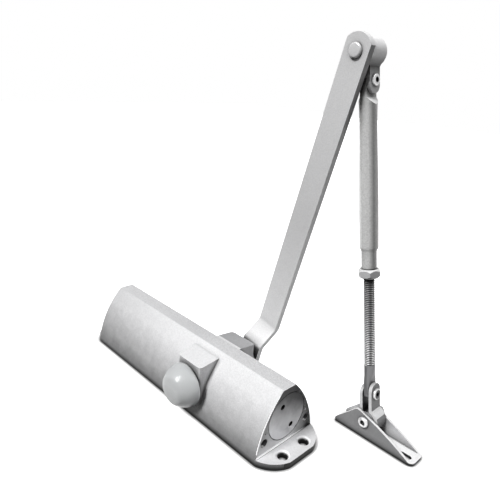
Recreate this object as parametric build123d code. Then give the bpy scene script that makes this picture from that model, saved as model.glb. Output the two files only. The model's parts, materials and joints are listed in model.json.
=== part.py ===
from build123d import *
from math import acos, cos, pi, radians, sin, sqrt, tan
import os

# Surface-mounted door closer with a folding arm. All sizes in millimetres.
# Origin: centre of the housing's mounting face. +X runs along the housing towards the
# valve end, +Y towards the side that carries the arm, +Z out of the mounting face.

# ---- housing -------------------------------------------------------------------------
body_length = 210.5
base_width = 58.5
body_height = 50.0
crest_width = 12.6
base_edge = 5.0
flank_bulge = 4.2
flange_thickness = 5.0
flange_reach = 16.5
flange_tip_width = 24.0
flange_swell = 3.0
edge_round = 0.8
screw_hole_diameter = 6.4
screw_sink_diameter = 10.4
screw_spacing = 22.0
screw_setback = 8.5

# ---- main bore and its end plugs -------------------------------------------------------
bore_height = 26.6
bore_diameter = 30.0
plug_diameter = 36.0
plug_depth = 17.0
plug_groove = 0.5
plug_groove_depth = 2.0
plug_clearance = 0.05
spanner_hole_diameter = 4.0
spanner_hole_depth = 6.0
spanner_hole_circle = 21.6
spanner_hole_turn = 29.0
seal_section = 2.4
plug_seal_setback = 3.0

# ---- pinion spindle and its bosses ---------------------------------------------------
spindle_setback = 75.25
spindle_height = 25.5
boss_width = 27.0
boss_inset = 0.85
boss_top = 44.3
boss_slope = 7.0
boss_round = 3.0
tooth_module = 2.0
pinion_teeth = 9
pressure_angle = 25.0
addendum_factor = 0.8
dedendum_factor = 1.0
mesh_backlash = 0.3
pinion_half_width = 9.0
journal_diameter = 14.0
square_size = 10.0
square_setback = 0.5
spindle_swing = 160.0
running_clearance = 0.05
bush_diameter = 22.0
bush_length = 6.0
gland_flange = 22.8
gland_proud = 3.0
gland_slot = 2.5

# ---- piston, check valve and spring --------------------------------------------------
slot_clearance = 0.8
piston_tail = 9.0
piston_head = 12.0
spigot_diameter = 14.0
spigot_length = 3.0
stop_diameter = 10.0
ball_diameter = 5.0
ball_port_diameter = 3.0
ball_pocket_depth = 8.0
ball_offset = 9.0
retainer_thickness = 1.6
spring_wire = 4.4
spring_mean_diameter = 22.0
spring_turns = 9
spring_seat_clearance = 0.1

# ---- speed valves --------------------------------------------------------------------
valve_spacing = 43.6
valve_height = 15.0
valve_hole_diameter = 6.4
valve_hole_depth = 22.0
valve_recess = 2.6
valve_length = 14.0
valve_clearance = 0.06
valve_tip_diameter = 2.6
valve_tip_length = 4.0
valve_slot_width = 1.0
valve_slot_depth = 1.4
valve_port_diameter = 2.0
valve_seal_section = 1.0
punch_mark_rise = 7.4
punch_mark_diameter = 1.8

# ---- cap over the free spindle end ---------------------------------------------------
cap_skirt_diameter = 34.4
cap_skirt_length = 3.5
cap_length = 15.0
cap_front_diameter = 21.0
cap_shoulder_in = 0.36
cap_shoulder_out = 0.62
cap_wall = 1.6
cap_gap = 0.2
cap_standoff = 1.8

# ---- main arm ------------------------------------------------------------------------
arm_length = 249.0
arm_lean = 14.3
arm_tip_radius = 11.0
arm_width = 19.0
arm_thickness = 5.0
arm_root_gap = 2.6
crank_rise = 13.6
crank_start = 15.5
crank_end = 29.4
crank_bend_radius = 4.0
arm_washer_diameter = 17.0
arm_washer_thickness = 1.5
arm_screw_diameter = 6.0
arm_screw_length = 14.0
arm_screw_head = 11.0
arm_screw_head_height = 4.5

# ---- elbow ---------------------------------------------------------------------------
rivet_diameter = 8.0
rivet_head_diameter = 10.8
rivet_head_height = 2.2
elbow_barrel_diameter = 18.0
elbow_strap_width = 16.0
elbow_washer_thickness = 1.5
side_clearance = 0.4
strap_thickness = 2.5
ear_gap = 5.2
ear_width = 11.5
pin_drop = 17.5
ear_end = 8.2
ear_short_end = 5.0
cross_pin_diameter = 5.0
cross_pin_head = 8.6
cross_pin_head_height = 1.8
cross_pin_tail_height = 1.0
blade_clearance = 0.15

# ---- forearm -------------------------------------------------------------------------
forearm_lean = 9.85
tube_diameter = 13.1
tube_top_diameter = 11.4
tube_wall = 1.3
tube_flat_length = 12.0
tube_taper_length = 12.0
tube_swell_end = 95.0
tube_round_end = 127.0
neck_end = 142.0
neck_diameter = 10.6
neck_taper = 2.5
nut_flats = 14.2
nut_height = 6.5
nut_gap = 0.1
nut_turn = 8.0
rod_diameter = 8.0
rod_thread_gap = 0.08
rod_overlap = 45.0
rod_blade_length = 12.0
rod_blade_taper = 7.0

# ---- foot ----------------------------------------------------------------------------
shoe_pivot_height = 13.2
foot_pin_rise = 21.0
foot_barrel_diameter = 20.0
shoe_width = 16.4
shoe_thickness = 2.0
shoe_front = 41.2
shoe_back = 24.4
shoe_wall_front = 38.2
shoe_wall_peak = 21.2
shoe_peak_back = 7.0
shoe_peak_round = 4.0
shoe_wall_heel = 3.6
shoe_wall_bow = 1.5
shoe_toe_slot = 33.0
shoe_heel_slot = -15.5
shoe_slot_side = -2.8
shoe_slot_width = 4.2
shoe_slot_length = 9.0
shoe_screw_diameter = 6.0
shoe_screw_head = 8.4
shoe_screw_head_height = 2.6
shoe_nut_flats = 10.0
shoe_nut_height = 4.0

# ---- places worked out from the sizes above --------------------------------------------
half_body = body_length / 2
spindle_offset = half_body - spindle_setback
boss_face = base_width / 2 - boss_inset
pitch_radius = tooth_module * pinion_teeth / 2
tip_radius = pitch_radius + addendum_factor * tooth_module
root_radius = pitch_radius - dedendum_factor * tooth_module
rack_pitch = pi * tooth_module
piston_stroke = pitch_radius * radians(spindle_swing)
slot_right = spindle_offset + tip_radius + slot_clearance + piston_stroke
slot_left = spindle_offset - tip_radius - slot_clearance
piston_right = slot_right + piston_head
piston_left = slot_left - piston_tail
plug_face_inside = half_body - plug_depth
journal_radius = journal_diameter / 2
bush_radius = bush_diameter / 2
bush_inner_end = bore_diameter / 2 + 0.4
gland_inner_end = bush_inner_end + bush_length
elbow_x = spindle_offset + arm_length * sin(radians(arm_lean))
elbow_z = spindle_height + arm_length * cos(radians(arm_lean))
square_start = boss_face + gland_proud + 0.5
arm_root_face = boss_face + gland_proud + arm_root_gap
arm_face = arm_root_face + crank_rise
square_end = arm_root_face + arm_thickness - square_setback
arm_far_face = arm_face + arm_thickness
strap_near = arm_far_face + side_clearance
forearm_y = strap_near + elbow_strap_width / 2
forearm_length = (elbow_z - shoe_pivot_height) / cos(radians(forearm_lean))
foot_x = elbow_x + forearm_length * sin(radians(forearm_lean))
foot_pin_place = forearm_length - foot_pin_rise
channel_width = shoe_width - 2 * shoe_thickness
ear_outer = ear_gap / 2 + strap_thickness


def cylinder_x(radius, start, end, y, z):
    """Round bar along X from start to end."""
    return Pos((start + end) / 2, y, z) * Rot(0, 90, 0) * Cylinder(radius, end - start)


def cylinder_y(radius, start, end, x, z):
    """Round bar along Y from start to end."""
    return Pos(x, (start + end) / 2, z) * Rot(90, 0, 0) * Cylinder(radius, end - start)


def ring_x(outer, inner, start, end, y, z):
    return cylinder_x(outer, start, end, y, z) - cylinder_x(inner, start - 1, end + 1, y, z)


def ring_y(outer, inner, start, end, x, z):
    return cylinder_y(outer, start, end, x, z) - cylinder_y(inner, start - 1, end + 1, x, z)


def box_between(x0, x1, y0, y1, z0, z1):
    middle = Pos((x0 + x1) / 2, (y0 + y1) / 2, (z0 + z1) / 2)
    return middle * Box(x1 - x0, y1 - y0, z1 - z0)


def along_y(face, start, end):
    """Extrudes a face drawn on the XZ plane (normal -Y) from y = start to y = end."""
    return Pos(0, end, 0) * extrude(face, amount=end - start)


def on_forearm(shape):
    """Places a shape drawn with the elbow at the origin and the forearm down -Z."""
    return Pos(elbow_x, forearm_y, elbow_z) * Rot(0, -forearm_lean, 0) * shape


def on_arm(shape):
    """Places a shape drawn with the spindle axis at the origin and the arm up +Z."""
    return Pos(spindle_offset, 0, spindle_height) * Rot(0, arm_lean, 0) * shape


# ---- housing ---------------------------------------------------------------------------
def housing_section():
    """Arched cross-section in the YZ plane: upright base edges, bulging flanks, flat crest."""
    half_base = base_width / 2
    half_crest = crest_width / 2
    rise = body_height - base_edge
    run = half_base - half_crest
    slant = sqrt(rise**2 + run**2)
    middle_y = (half_base + half_crest) / 2 + flank_bulge * rise / slant
    middle_z = (body_height + base_edge) / 2 + flank_bulge * run / slant
    right = ThreePointArc((half_base, base_edge), (middle_y, middle_z), (half_crest, body_height))
    left = ThreePointArc((-half_crest, body_height), (-middle_y, middle_z), (-half_base, base_edge))
    outline = [
        Line((-half_base, 0), (half_base, 0)),
        Line((half_base, 0), (half_base, base_edge)),
        right,
        Line((half_crest, body_height), (-half_crest, body_height)),
        left,
        Line((-half_base, base_edge), (-half_base, 0)),
    ]
    return make_face(outline)


def end_flange(side):
    """Screw flange beyond one end face: curved sides that run in to a straight outer edge."""
    half_base = base_width / 2
    half_tip = flange_tip_width / 2
    outer = half_body + flange_reach
    reach = flange_reach
    run = half_base - half_tip
    slant = sqrt(reach**2 + run**2)
    middle_x = half_body + reach / 2 + flange_swell * run / slant
    middle_y = half_tip + run / 2 + flange_swell * reach / slant
    outline = [
        Line((half_body - 1, -half_base), (half_body, -half_base)),
        ThreePointArc((half_body, -half_base), (middle_x, -middle_y), (outer, -half_tip)),
        Line((outer, -half_tip), (outer, half_tip)),
        ThreePointArc((outer, half_tip), (middle_x, middle_y), (half_body, half_base)),
        Line((half_body, half_base), (half_body - 1, half_base)),
        Line((half_body - 1, half_base), (half_body - 1, -half_base)),
    ]
    flange = extrude(make_face(outline), amount=flange_thickness)
    corners = flange.edges().filter_by(Axis.Z).filter_by_position(Axis.X, outer - 0.1, outer + 0.1)
    flange = fillet(corners, edge_round * 3)
    return flange if side > 0 else mirror(flange, about=Plane.YZ)


def boss_block():
    """Block that carries the spindle across the housing, its top sloping down to each face."""
    flank = boss_face - crest_width
    rise = flank * tan(radians(boss_slope))
    inner_top = boss_top + rise
    outline = Polyline(
        (-boss_face, 0),
        (-boss_face, boss_top),
        (-crest_width, inner_top),
        (crest_width, inner_top),
        (boss_face, boss_top),
        (boss_face, 0),
        close=True,
    )
    block = extrude(Plane.YZ * make_face(outline), amount=boss_width)
    block = Pos(spindle_offset - boss_width / 2, 0, 0) * block
    corners = block.edges().filter_by(Axis.Z)
    return fillet(corners, boss_round)


def screw_places():
    reach = half_body + screw_setback
    return [(sx * reach, sy * screw_spacing / 2) for sx in (-1, 1) for sy in (-1, 1)]


def make_housing():
    body = Pos(-half_body, 0, 0) * extrude(Plane.YZ * housing_section(), amount=body_length)
    crest = body.edges().filter_by(Axis.X).filter_by_position(Axis.Z, body_height - 0.1, body_height + 0.1)
    body = fillet(crest, edge_round)
    ends = body.edges().filter_by(lambda e: abs(abs(e.center().X) - half_body) < 0.01)
    ends = ends.filter_by(lambda e: e.center().Z > base_edge + 0.5)
    body = chamfer(ends, edge_round / 2)
    body = body + boss_block() + end_flange(1) + end_flange(-1)

    body -= cylinder_x(bore_diameter / 2, -half_body - 1, half_body + 1, 0, bore_height)
    for side in (-1, 1):
        inner, outer = sorted((side * plug_face_inside, side * (half_body + 1)))
        body -= cylinder_x(plug_diameter / 2 + plug_clearance, inner, outer, 0, bore_height)
        inner, outer = sorted((side * (half_body - plug_groove_depth), side * (half_body + 1)))
        groove_radius = plug_diameter / 2 + plug_groove
        body -= cylinder_x(groove_radius, inner, outer, 0, bore_height)
    body -= cylinder_y(bush_radius, -boss_face - 1, boss_face + 1, spindle_offset, spindle_height)

    for side in (-1, 1):
        y = side * valve_spacing / 2
        hole_end = half_body - valve_hole_depth
        hole_radius = valve_hole_diameter / 2
        body -= cylinder_x(hole_radius, hole_end, half_body + 1, y, valve_height)
        port = cylinder_y(valve_port_diameter / 2, 0, abs(y), hole_end + valve_port_diameter, valve_height)
        body -= port if side > 0 else mirror(port, about=Plane.XZ)
        mark = Pos(half_body, y * 0.945, valve_height + punch_mark_rise)
        body -= mark * Sphere(punch_mark_diameter / 2)

    for x, y in screw_places():
        body -= Pos(x, y, flange_thickness / 2) * Cylinder(screw_hole_diameter / 2, flange_thickness + 2)
        sink_depth = (screw_sink_diameter - screw_hole_diameter) / 2
        sink = Cone(screw_hole_diameter / 2, screw_sink_diameter / 2, sink_depth)
        body -= Pos(x, y, flange_thickness - sink_depth / 2) * sink
    return body


def make_end_plug(side):
    """Screwed plug in one end of the bore, with two spanner holes and a seal groove."""
    radius = plug_diameter / 2
    inner = plug_face_inside + plug_clearance
    plug = cylinder_x(radius, inner, half_body, 0, bore_height)
    for turn in (0, 180):
        angle = radians(spanner_hole_turn + turn)
        y = -spanner_hole_circle / 2 * sin(angle)
        z = bore_height + spanner_hole_circle / 2 * cos(angle)
        hole_start = half_body - spanner_hole_depth
        plug -= cylinder_x(spanner_hole_diameter / 2, hole_start, half_body + 1, y, z)
    groove_start = inner + plug_seal_setback
    groove_end = groove_start + seal_section
    plug -= ring_x(radius + 1, radius - seal_section, groove_start, groove_end, 0, bore_height)
    if side > 0:
        stop_end = piston_right + running_clearance
        return plug + cylinder_x(stop_diameter / 2, stop_end, inner + 1, 0, bore_height)
    plug += cylinder_x(spigot_diameter / 2, inner - spigot_length, inner + 1, 0, bore_height)
    return mirror(plug, about=Plane.YZ)


def make_plug_seals():
    """Sealing rings that fill the grooves of both end plugs."""
    start = plug_face_inside + plug_clearance + plug_seal_setback + running_clearance
    end = start + seal_section - 2 * running_clearance
    inner = plug_diameter / 2 - seal_section + running_clearance
    ring = ring_x(plug_diameter / 2, inner, start, end, 0, bore_height)
    return Compound(children=[ring, mirror(ring, about=Plane.YZ)])


# ---- rack and pinion ---------------------------------------------------------------------
def involute(angle):
    return tan(angle) - angle


def tooth_half_angle(radius):
    """Half the angle that a pinion tooth spans at a radius, flanks as true involutes."""
    base_radius = pitch_radius * cos(radians(pressure_angle))
    at_radius = acos(min(1.0, base_radius / radius))
    at_pitch = (rack_pitch / 2 - mesh_backlash / 2) / (2 * pitch_radius)
    return at_pitch + involute(radians(pressure_angle)) - involute(at_radius)


def pinion_face():
    """Outline of the pinion in the XZ plane, one tooth pointing straight at the rack."""
    base_radius = pitch_radius * cos(radians(pressure_angle))
    steps = 5
    radii = [base_radius + (tip_radius - base_radius) * k / (steps - 1) for k in range(steps)]
    edges = []

    def at(radius, angle):
        return (radius * sin(angle), -radius * cos(angle))

    for tooth in range(pinion_teeth):
        middle = 2 * pi * tooth / pinion_teeth
        half_root = tooth_half_angle(base_radius)
        rising = [at(r, middle - tooth_half_angle(r)) for r in radii]
        falling = [at(r, middle + tooth_half_angle(r)) for r in reversed(radii)]
        root_in = at(root_radius, middle - half_root)
        root_out = at(root_radius, middle + half_root)
        next_root = at(root_radius, middle + 2 * pi / pinion_teeth - half_root)
        valley = at(root_radius, middle + pi / pinion_teeth)
        edges += [
            Line(root_in, rising[0]),
            Spline(*rising),
            ThreePointArc(rising[-1], at(tip_radius, middle), falling[0]),
            Spline(*falling),
            Line(falling[-1], root_out),
            ThreePointArc(root_out, valley, next_root),
        ]
    return make_face(edges)


def make_spindle():
    """Pinion, its two journals and the square ends that take an arm on either side."""
    pinion = along_y(Plane.XZ * pinion_face(), -pinion_half_width, pinion_half_width)
    shaft = cylinder_y(journal_radius, -square_start, square_start, 0, 0)
    spindle = Pos(spindle_offset, 0, spindle_height) * (pinion + shaft)
    half = square_size / 2
    for side in (-1, 1):
        start, end = sorted((side * (square_start - 1), side * square_end))
        square = box_between(-half, half, start, end, -half, half)
        square = square & cylinder_y(journal_radius - running_clearance, start, end, 0, 0)
        spindle += on_arm(square)
    thread_start = square_end - arm_screw_length
    for side in (-1, 1):
        start, end = sorted((side * thread_start, side * (square_end + 1)))
        thread_radius = arm_screw_diameter / 2 + running_clearance
        spindle -= cylinder_y(thread_radius, start, end, spindle_offset, spindle_height)
    return spindle


def make_spindle_bush(side):
    """Plain bearing pressed into one boss."""
    inner = journal_radius + running_clearance
    ring = ring_y(bush_radius, inner, bush_inner_end, gland_inner_end, spindle_offset, spindle_height)
    return ring if side > 0 else mirror(ring, about=Plane.XZ)


def make_spindle_gland(side):
    """Screwed gland that keeps the bush and the shaft seal in one boss."""
    outer = boss_face + gland_proud
    start = gland_inner_end + 0.05
    inner = journal_radius + running_clearance
    gland = ring_y(bush_radius, inner, start, outer, spindle_offset, spindle_height)
    gland += ring_y(gland_flange / 2, inner, boss_face, outer, spindle_offset, spindle_height)
    for turn in (45, 135):
        slot = box_between(
            -gland_flange, gland_flange, outer - gland_slot / 2, outer + 1, -gland_slot / 2, gland_slot / 2
        )
        gland -= Pos(spindle_offset, 0, spindle_height) * Rot(0, turn, 0) * slot
    groove_start = start + (boss_face - start - seal_section) / 2
    pocket = inner + seal_section
    gland -= ring_y(pocket, inner - 1, groove_start, groove_start + seal_section, spindle_offset, spindle_height)
    return gland if side > 0 else mirror(gland, about=Plane.XZ)


def make_gland_seals():
    """Shaft seals inside the two glands."""
    start = gland_inner_end + 0.05
    groove_start = start + (boss_face - start - seal_section) / 2 + running_clearance
    groove_end = groove_start + seal_section - 2 * running_clearance
    inner = journal_radius + running_clearance
    outer = inner + seal_section - running_clearance
    ring = ring_y(outer, inner, groove_start, groove_end, spindle_offset, spindle_height)
    return Compound(children=[ring, mirror(ring, about=Plane.XZ)])


def piston_slot():
    """Window through the piston: plain top, rack teeth along the bottom."""
    root = spindle_height - pitch_radius - dedendum_factor * tooth_module
    tip = spindle_height - pitch_radius + addendum_factor * tooth_module
    lean = tan(radians(pressure_angle))
    half_at_pitch = (rack_pitch / 2 - mesh_backlash / 2) / 2
    half_root = half_at_pitch + dedendum_factor * tooth_module * lean
    half_tip = half_at_pitch - addendum_factor * tooth_module * lean
    top = spindle_height + tip_radius + slot_clearance
    points = [(slot_left, top), (slot_left, root)]
    middle = spindle_offset - rack_pitch / 2
    while middle - rack_pitch - half_root > slot_left:
        middle -= rack_pitch
    while middle + half_root < slot_right:
        points.append((middle - half_root, root))
        points.append((middle - half_tip, tip))
        points.append((middle + half_tip, tip))
        points.append((middle + half_root, root))
        middle += rack_pitch
    points += [(slot_right, root), (slot_right, top)]
    return make_face(Polyline(*points, close=True))


def make_piston():
    """Piston with the rack that the pinion drives, and a check-valve passage in its head."""
    radius = bore_diameter / 2 - running_clearance
    piston = cylinder_x(radius, piston_left, piston_right, 0, bore_height)
    piston += cylinder_x(spigot_diameter / 2, piston_left - spigot_length, piston_left + 1, 0, bore_height)
    piston -= along_y(Plane.XZ * piston_slot(), -bore_diameter, bore_diameter)
    ball_z = bore_height + ball_offset
    port_start = slot_right - 1
    pocket_start = piston_right - ball_pocket_depth
    piston -= cylinder_x(ball_port_diameter / 2, port_start, piston_right + 1, 0, ball_z)
    pocket_radius = ball_diameter / 2 + 0.3
    piston -= cylinder_x(pocket_radius, pocket_start, piston_right + 1, 0, ball_z)
    return piston


def make_check_ball():
    ball_z = bore_height + ball_offset
    seat = piston_right - ball_pocket_depth
    ball_radius = ball_diameter / 2
    return Pos(seat + ball_radius + 0.02, 0, ball_z) * Sphere(ball_radius)


def make_ball_retainer():
    """Perforated disc that holds the ball in the piston head."""
    ball_z = bore_height + ball_offset
    outer = ball_diameter / 2 + 0.3 - 0.02
    end = piston_right - 0.1
    inner = ball_port_diameter / 2
    return ring_x(outer, inner, end - retainer_thickness, end, 0, ball_z)


def make_main_spring():
    """Closing spring between the spring-end plug and the tail of the piston."""
    seat = -plug_face_inside - plug_clearance
    start = seat + spring_wire / 2 + spring_seat_clearance
    end = piston_left - spring_wire / 2 - spring_seat_clearance
    length = end - start
    coil = Helix(pitch=length / spring_turns, height=length, radius=spring_mean_diameter / 2)
    section = Plane(origin=coil @ 0, z_dir=coil % 0) * RegularPolygon(spring_wire / 2, 6)
    spring = sweep(section, path=coil, is_frenet=True)
    return Pos(start, 0, bore_height) * Rot(0, 90, 0) * spring


# ---- speed valves ------------------------------------------------------------------------
def make_speed_valve(side):
    """Needle valve screw, slotted at its head, set back in the valve-end face."""
    y = side * valve_spacing / 2
    radius = valve_hole_diameter / 2 - valve_clearance
    head = half_body - valve_recess
    foot = head - valve_length
    screw = cylinder_x(radius, foot, head, y, valve_height)
    tip = Cone(radius, valve_tip_diameter / 2, valve_tip_length)
    screw += Pos(foot - valve_tip_length / 2, y, valve_height) * Rot(0, -90, 0) * tip
    slot = box_between(head - valve_slot_depth, head + 1, -radius, radius, -valve_slot_width / 2, valve_slot_width / 2)
    screw -= Pos(0, y, valve_height) * Rot(35, 0, 0) * slot
    groove = foot + valve_length / 2
    screw -= ring_x(radius + 1, radius - valve_seal_section, groove, groove + valve_seal_section, y, valve_height)
    return screw


def make_valve_seals():
    """Small sealing rings round the two speed valves."""
    radius = valve_hole_diameter / 2 - valve_clearance
    inner = radius - valve_seal_section + 0.03
    start = half_body - valve_recess - valve_length / 2 + 0.03
    end = start + valve_seal_section - 0.06
    rings = []
    for side in (-1, 1):
        rings.append(ring_x(radius, inner, start, end, side * valve_spacing / 2, valve_height))
    return Compound(children=rings)


# ---- cap -----------------------------------------------------------------------------------
def cap_profile(skirt, front, length, skirt_length):
    """Half section of the cap: upright skirt, two tapering bands, flat front."""
    shoulder_r = skirt - (skirt - front) * cap_shoulder_in
    shoulder_l = skirt_length + (length - skirt_length) * cap_shoulder_out
    return make_face(
        Polyline(
            (0, 0),
            (skirt, 0),
            (skirt, skirt_length),
            (shoulder_r, shoulder_l),
            (front, length),
            (0, length),
            close=True,
        )
    )


def make_spindle_cap():
    """Plastic cap over the unused spindle end, its socket pushed on the gland flange."""
    outer = cap_profile(cap_skirt_diameter / 2, cap_front_diameter / 2, cap_length, cap_skirt_length)
    inner = cap_profile(
        cap_skirt_diameter / 2 - cap_wall,
        cap_front_diameter / 2 - cap_wall,
        cap_length - cap_wall,
        cap_skirt_length - cap_wall / 2,
    )
    shell = revolve(outer, Axis.Y) - revolve(inner, Axis.Y)
    shell = Pos(0, -boss_face - cap_standoff, 0) * mirror(shell, about=Plane.XZ)
    grip = gland_flange / 2 + running_clearance
    socket_end = -boss_face - cap_gap
    socket_start = -boss_face - cap_standoff - cap_length + cap_wall / 2
    socket = ring_y(grip + cap_wall, grip, socket_start, socket_end, 0, 0)
    envelope = Pos(0, -boss_face - cap_standoff, 0) * mirror(revolve(outer, Axis.Y), about=Plane.XZ)
    skirt_back = cylinder_y(grip + cap_wall, -boss_face - cap_standoff, socket_end, 0, 0)
    return Pos(spindle_offset, 0, spindle_height) * (shell + (socket & (envelope + skirt_back)))


# ---- main arm --------------------------------------------------------------------------------
def bar_outline(length, width):
    """Plan of a flat bar: round at the spindle axis, a shallower arc past the elbow axis."""
    half = width / 2
    end = length + sqrt(max(arm_tip_radius**2 - half**2, 0.01))
    return make_face(
        [
            Line((half, 0), (half, end)),
            ThreePointArc((half, end), (0, length + arm_tip_radius), (-half, end)),
            Line((-half, end), (-half, 0)),
            ThreePointArc((-half, 0), (0, -half), (half, 0)),
        ]
    )


def make_main_arm():
    """Cranked flat bar: root on the spindle square, joggle outwards, long flat reach."""
    half = arm_width / 2
    path = FilletPolyline(
        (arm_root_face, -half - 1),
        (arm_root_face, crank_start),
        (arm_face, crank_end),
        (arm_face, arm_length + arm_tip_radius + 1),
        radius=crank_bend_radius,
    )
    strip = make_face(offset(path, amount=arm_thickness, side=Side.RIGHT))
    bar = Pos(-arm_width, 0, 0) * extrude(Plane.YZ * strip, amount=2 * arm_width)
    plan = Plane.XZ * bar_outline(arm_length, arm_width)
    bar = bar & along_y(plan, 0, arm_far_face + 10)
    hole = square_size / 2 + running_clearance
    bar -= box_between(-hole, hole, 0, arm_root_face + 2 * arm_thickness, -hole, hole)
    bar -= cylinder_y(rivet_diameter / 2 + 0.02, arm_face - 1, arm_far_face + 1, 0, arm_length)
    return on_arm(bar)


def make_arm_washer():
    start = arm_root_face + arm_thickness + 0.05
    hole = arm_screw_diameter / 2 + 0.2
    end = start + arm_washer_thickness
    return ring_y(arm_washer_diameter / 2, hole, start, end, spindle_offset, spindle_height)


def make_arm_screw():
    """Screw that holds the arm on the spindle square."""
    start = arm_root_face + arm_thickness + arm_washer_thickness + 0.1
    end = start + arm_screw_head_height
    head = cylinder_y(arm_screw_head / 2, start, end, spindle_offset, spindle_height)
    rim = head.edges().filter_by(GeomType.CIRCLE).sort_by(Axis.Y)[-1]
    head = fillet(rim, 1.0)
    tip = square_end - arm_screw_length + 1
    return head + cylinder_y(arm_screw_diameter / 2, tip, start + 1, spindle_offset, spindle_height)


# ---- elbow -----------------------------------------------------------------------------------
def domed_head(radius, height, rim):
    """Low head with a bevelled rim, seated on z = 0 and rising along +Z."""
    return Pos(0, 0, height / 2) * Cylinder(radius, height) - rim_cutter(radius, height, rim)


def rim_cutter(radius, height, rim):
    outer = radius + 1
    profile = make_face(
        Polyline((radius - rim, height), (outer, height), (outer, height - rim - 1), close=True)
    )
    return revolve(Plane.XZ * profile, Axis.Z)


def make_elbow_rivet():
    """Rivet through the arm, the elbow bush and the strap, with a head at each side."""
    near = arm_face - 0.02
    far = strap_near + elbow_strap_width + side_clearance + elbow_washer_thickness + 0.1
    rivet = cylinder_y(rivet_diameter / 2, near - 0.5, far + 0.5, elbow_x, elbow_z)
    head = domed_head(rivet_head_diameter / 2, rivet_head_height, 1.2)
    rivet += Pos(elbow_x, near, elbow_z) * Rot(90, 0, 0) * head
    return rivet + Pos(elbow_x, far, elbow_z) * Rot(-90, 0, 0) * head


def make_elbow_bush():
    """Sleeve on the rivet that the strap turns on."""
    outer = elbow_barrel_diameter / 2 - strap_thickness - running_clearance
    inner = rivet_diameter / 2 + 0.02
    start = arm_far_face + 0.02
    end = strap_near + elbow_strap_width + side_clearance
    return ring_y(outer, inner, start, end, elbow_x, elbow_z)


def make_elbow_washer():
    start = strap_near + elbow_strap_width + side_clearance + 0.05
    inner = rivet_diameter / 2 + 0.02
    outer = elbow_barrel_diameter / 2 - 1
    return ring_y(outer, inner, start, start + elbow_washer_thickness, elbow_x, elbow_z)


def ear_side(outer, width, reach):
    """Side view of a strap in the YZ plane: full width at the barrel, narrow round-ended ear."""
    half_ear = ear_width / 2
    round_start = reach - half_ear
    shoulder = outer * 0.75
    neck = shoulder + (width - ear_width) / 2 + 0.5
    return make_face(
        [
            Line((-width / 2, -outer - 1), (width / 2, -outer - 1)),
            Line((width / 2, -outer - 1), (width / 2, shoulder)),
            Line((width / 2, shoulder), (half_ear, neck)),
            Line((half_ear, neck), (half_ear, round_start)),
            ThreePointArc((half_ear, round_start), (0, reach), (-half_ear, round_start)),
            Line((-half_ear, round_start), (-half_ear, neck)),
            Line((-half_ear, neck), (-width / 2, shoulder)),
            Line((-width / 2, shoulder), (-width / 2, -outer - 1)),
        ]
    )


def strap(barrel_diameter, width, drop, up):
    """Strip wrapped round a bush, its two ends brought together as ears for a cross pin.

    Drawn with the bush axis along Y through the origin; up = 1 sends the ears up +Z.
    """
    outer = barrel_diameter / 2
    inner = outer - strap_thickness
    reach = drop + ear_end
    profile = Circle(outer) + Pos(0, reach / 2) * Rectangle(2 * ear_outer, reach)
    corners = profile.vertices().filter_by(lambda v: 0.1 < v.Y < reach - 0.1)
    profile = fillet(corners, strap_thickness)
    profile -= Circle(inner)
    profile -= Pos(0, reach / 2 + 1) * Rectangle(ear_gap, reach + 2)
    band = along_y(Plane.XZ * profile, -width / 2, width / 2)
    near = extrude(Plane.YZ * ear_side(outer, width, reach), amount=outer + 2)
    far = extrude(Plane.YZ * ear_side(outer, width, drop + ear_short_end), amount=-outer - 2)
    band = band & (near + far)
    pin_hole = cross_pin_diameter / 2 + 0.02
    band -= cylinder_x(pin_hole, -outer - 2, outer + 2, 0, drop)
    return band if up > 0 else Rot(180, 0, 0) * band


def cross_pin():
    """Pin along X through a pair of ears, domed head on +X, riveted over on -X."""
    pin = cylinder_x(cross_pin_diameter / 2, -ear_outer - 0.3, ear_outer + 0.3, 0, 0)
    head = domed_head(cross_pin_head / 2, cross_pin_head_height, 0.8)
    tail = domed_head(cross_pin_head / 2 - 0.6, cross_pin_tail_height, 0.4)
    pin += Pos(ear_outer + 0.02, 0, 0) * Rot(0, 90, 0) * head
    return pin + Pos(-ear_outer - 0.02, 0, 0) * Rot(0, -90, 0) * tail


def make_elbow_strap():
    return on_forearm(strap(elbow_barrel_diameter, elbow_strap_width, pin_drop, -1))


def make_elbow_cross_pin():
    return on_forearm(Pos(0, 0, -pin_drop) * cross_pin())


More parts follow.
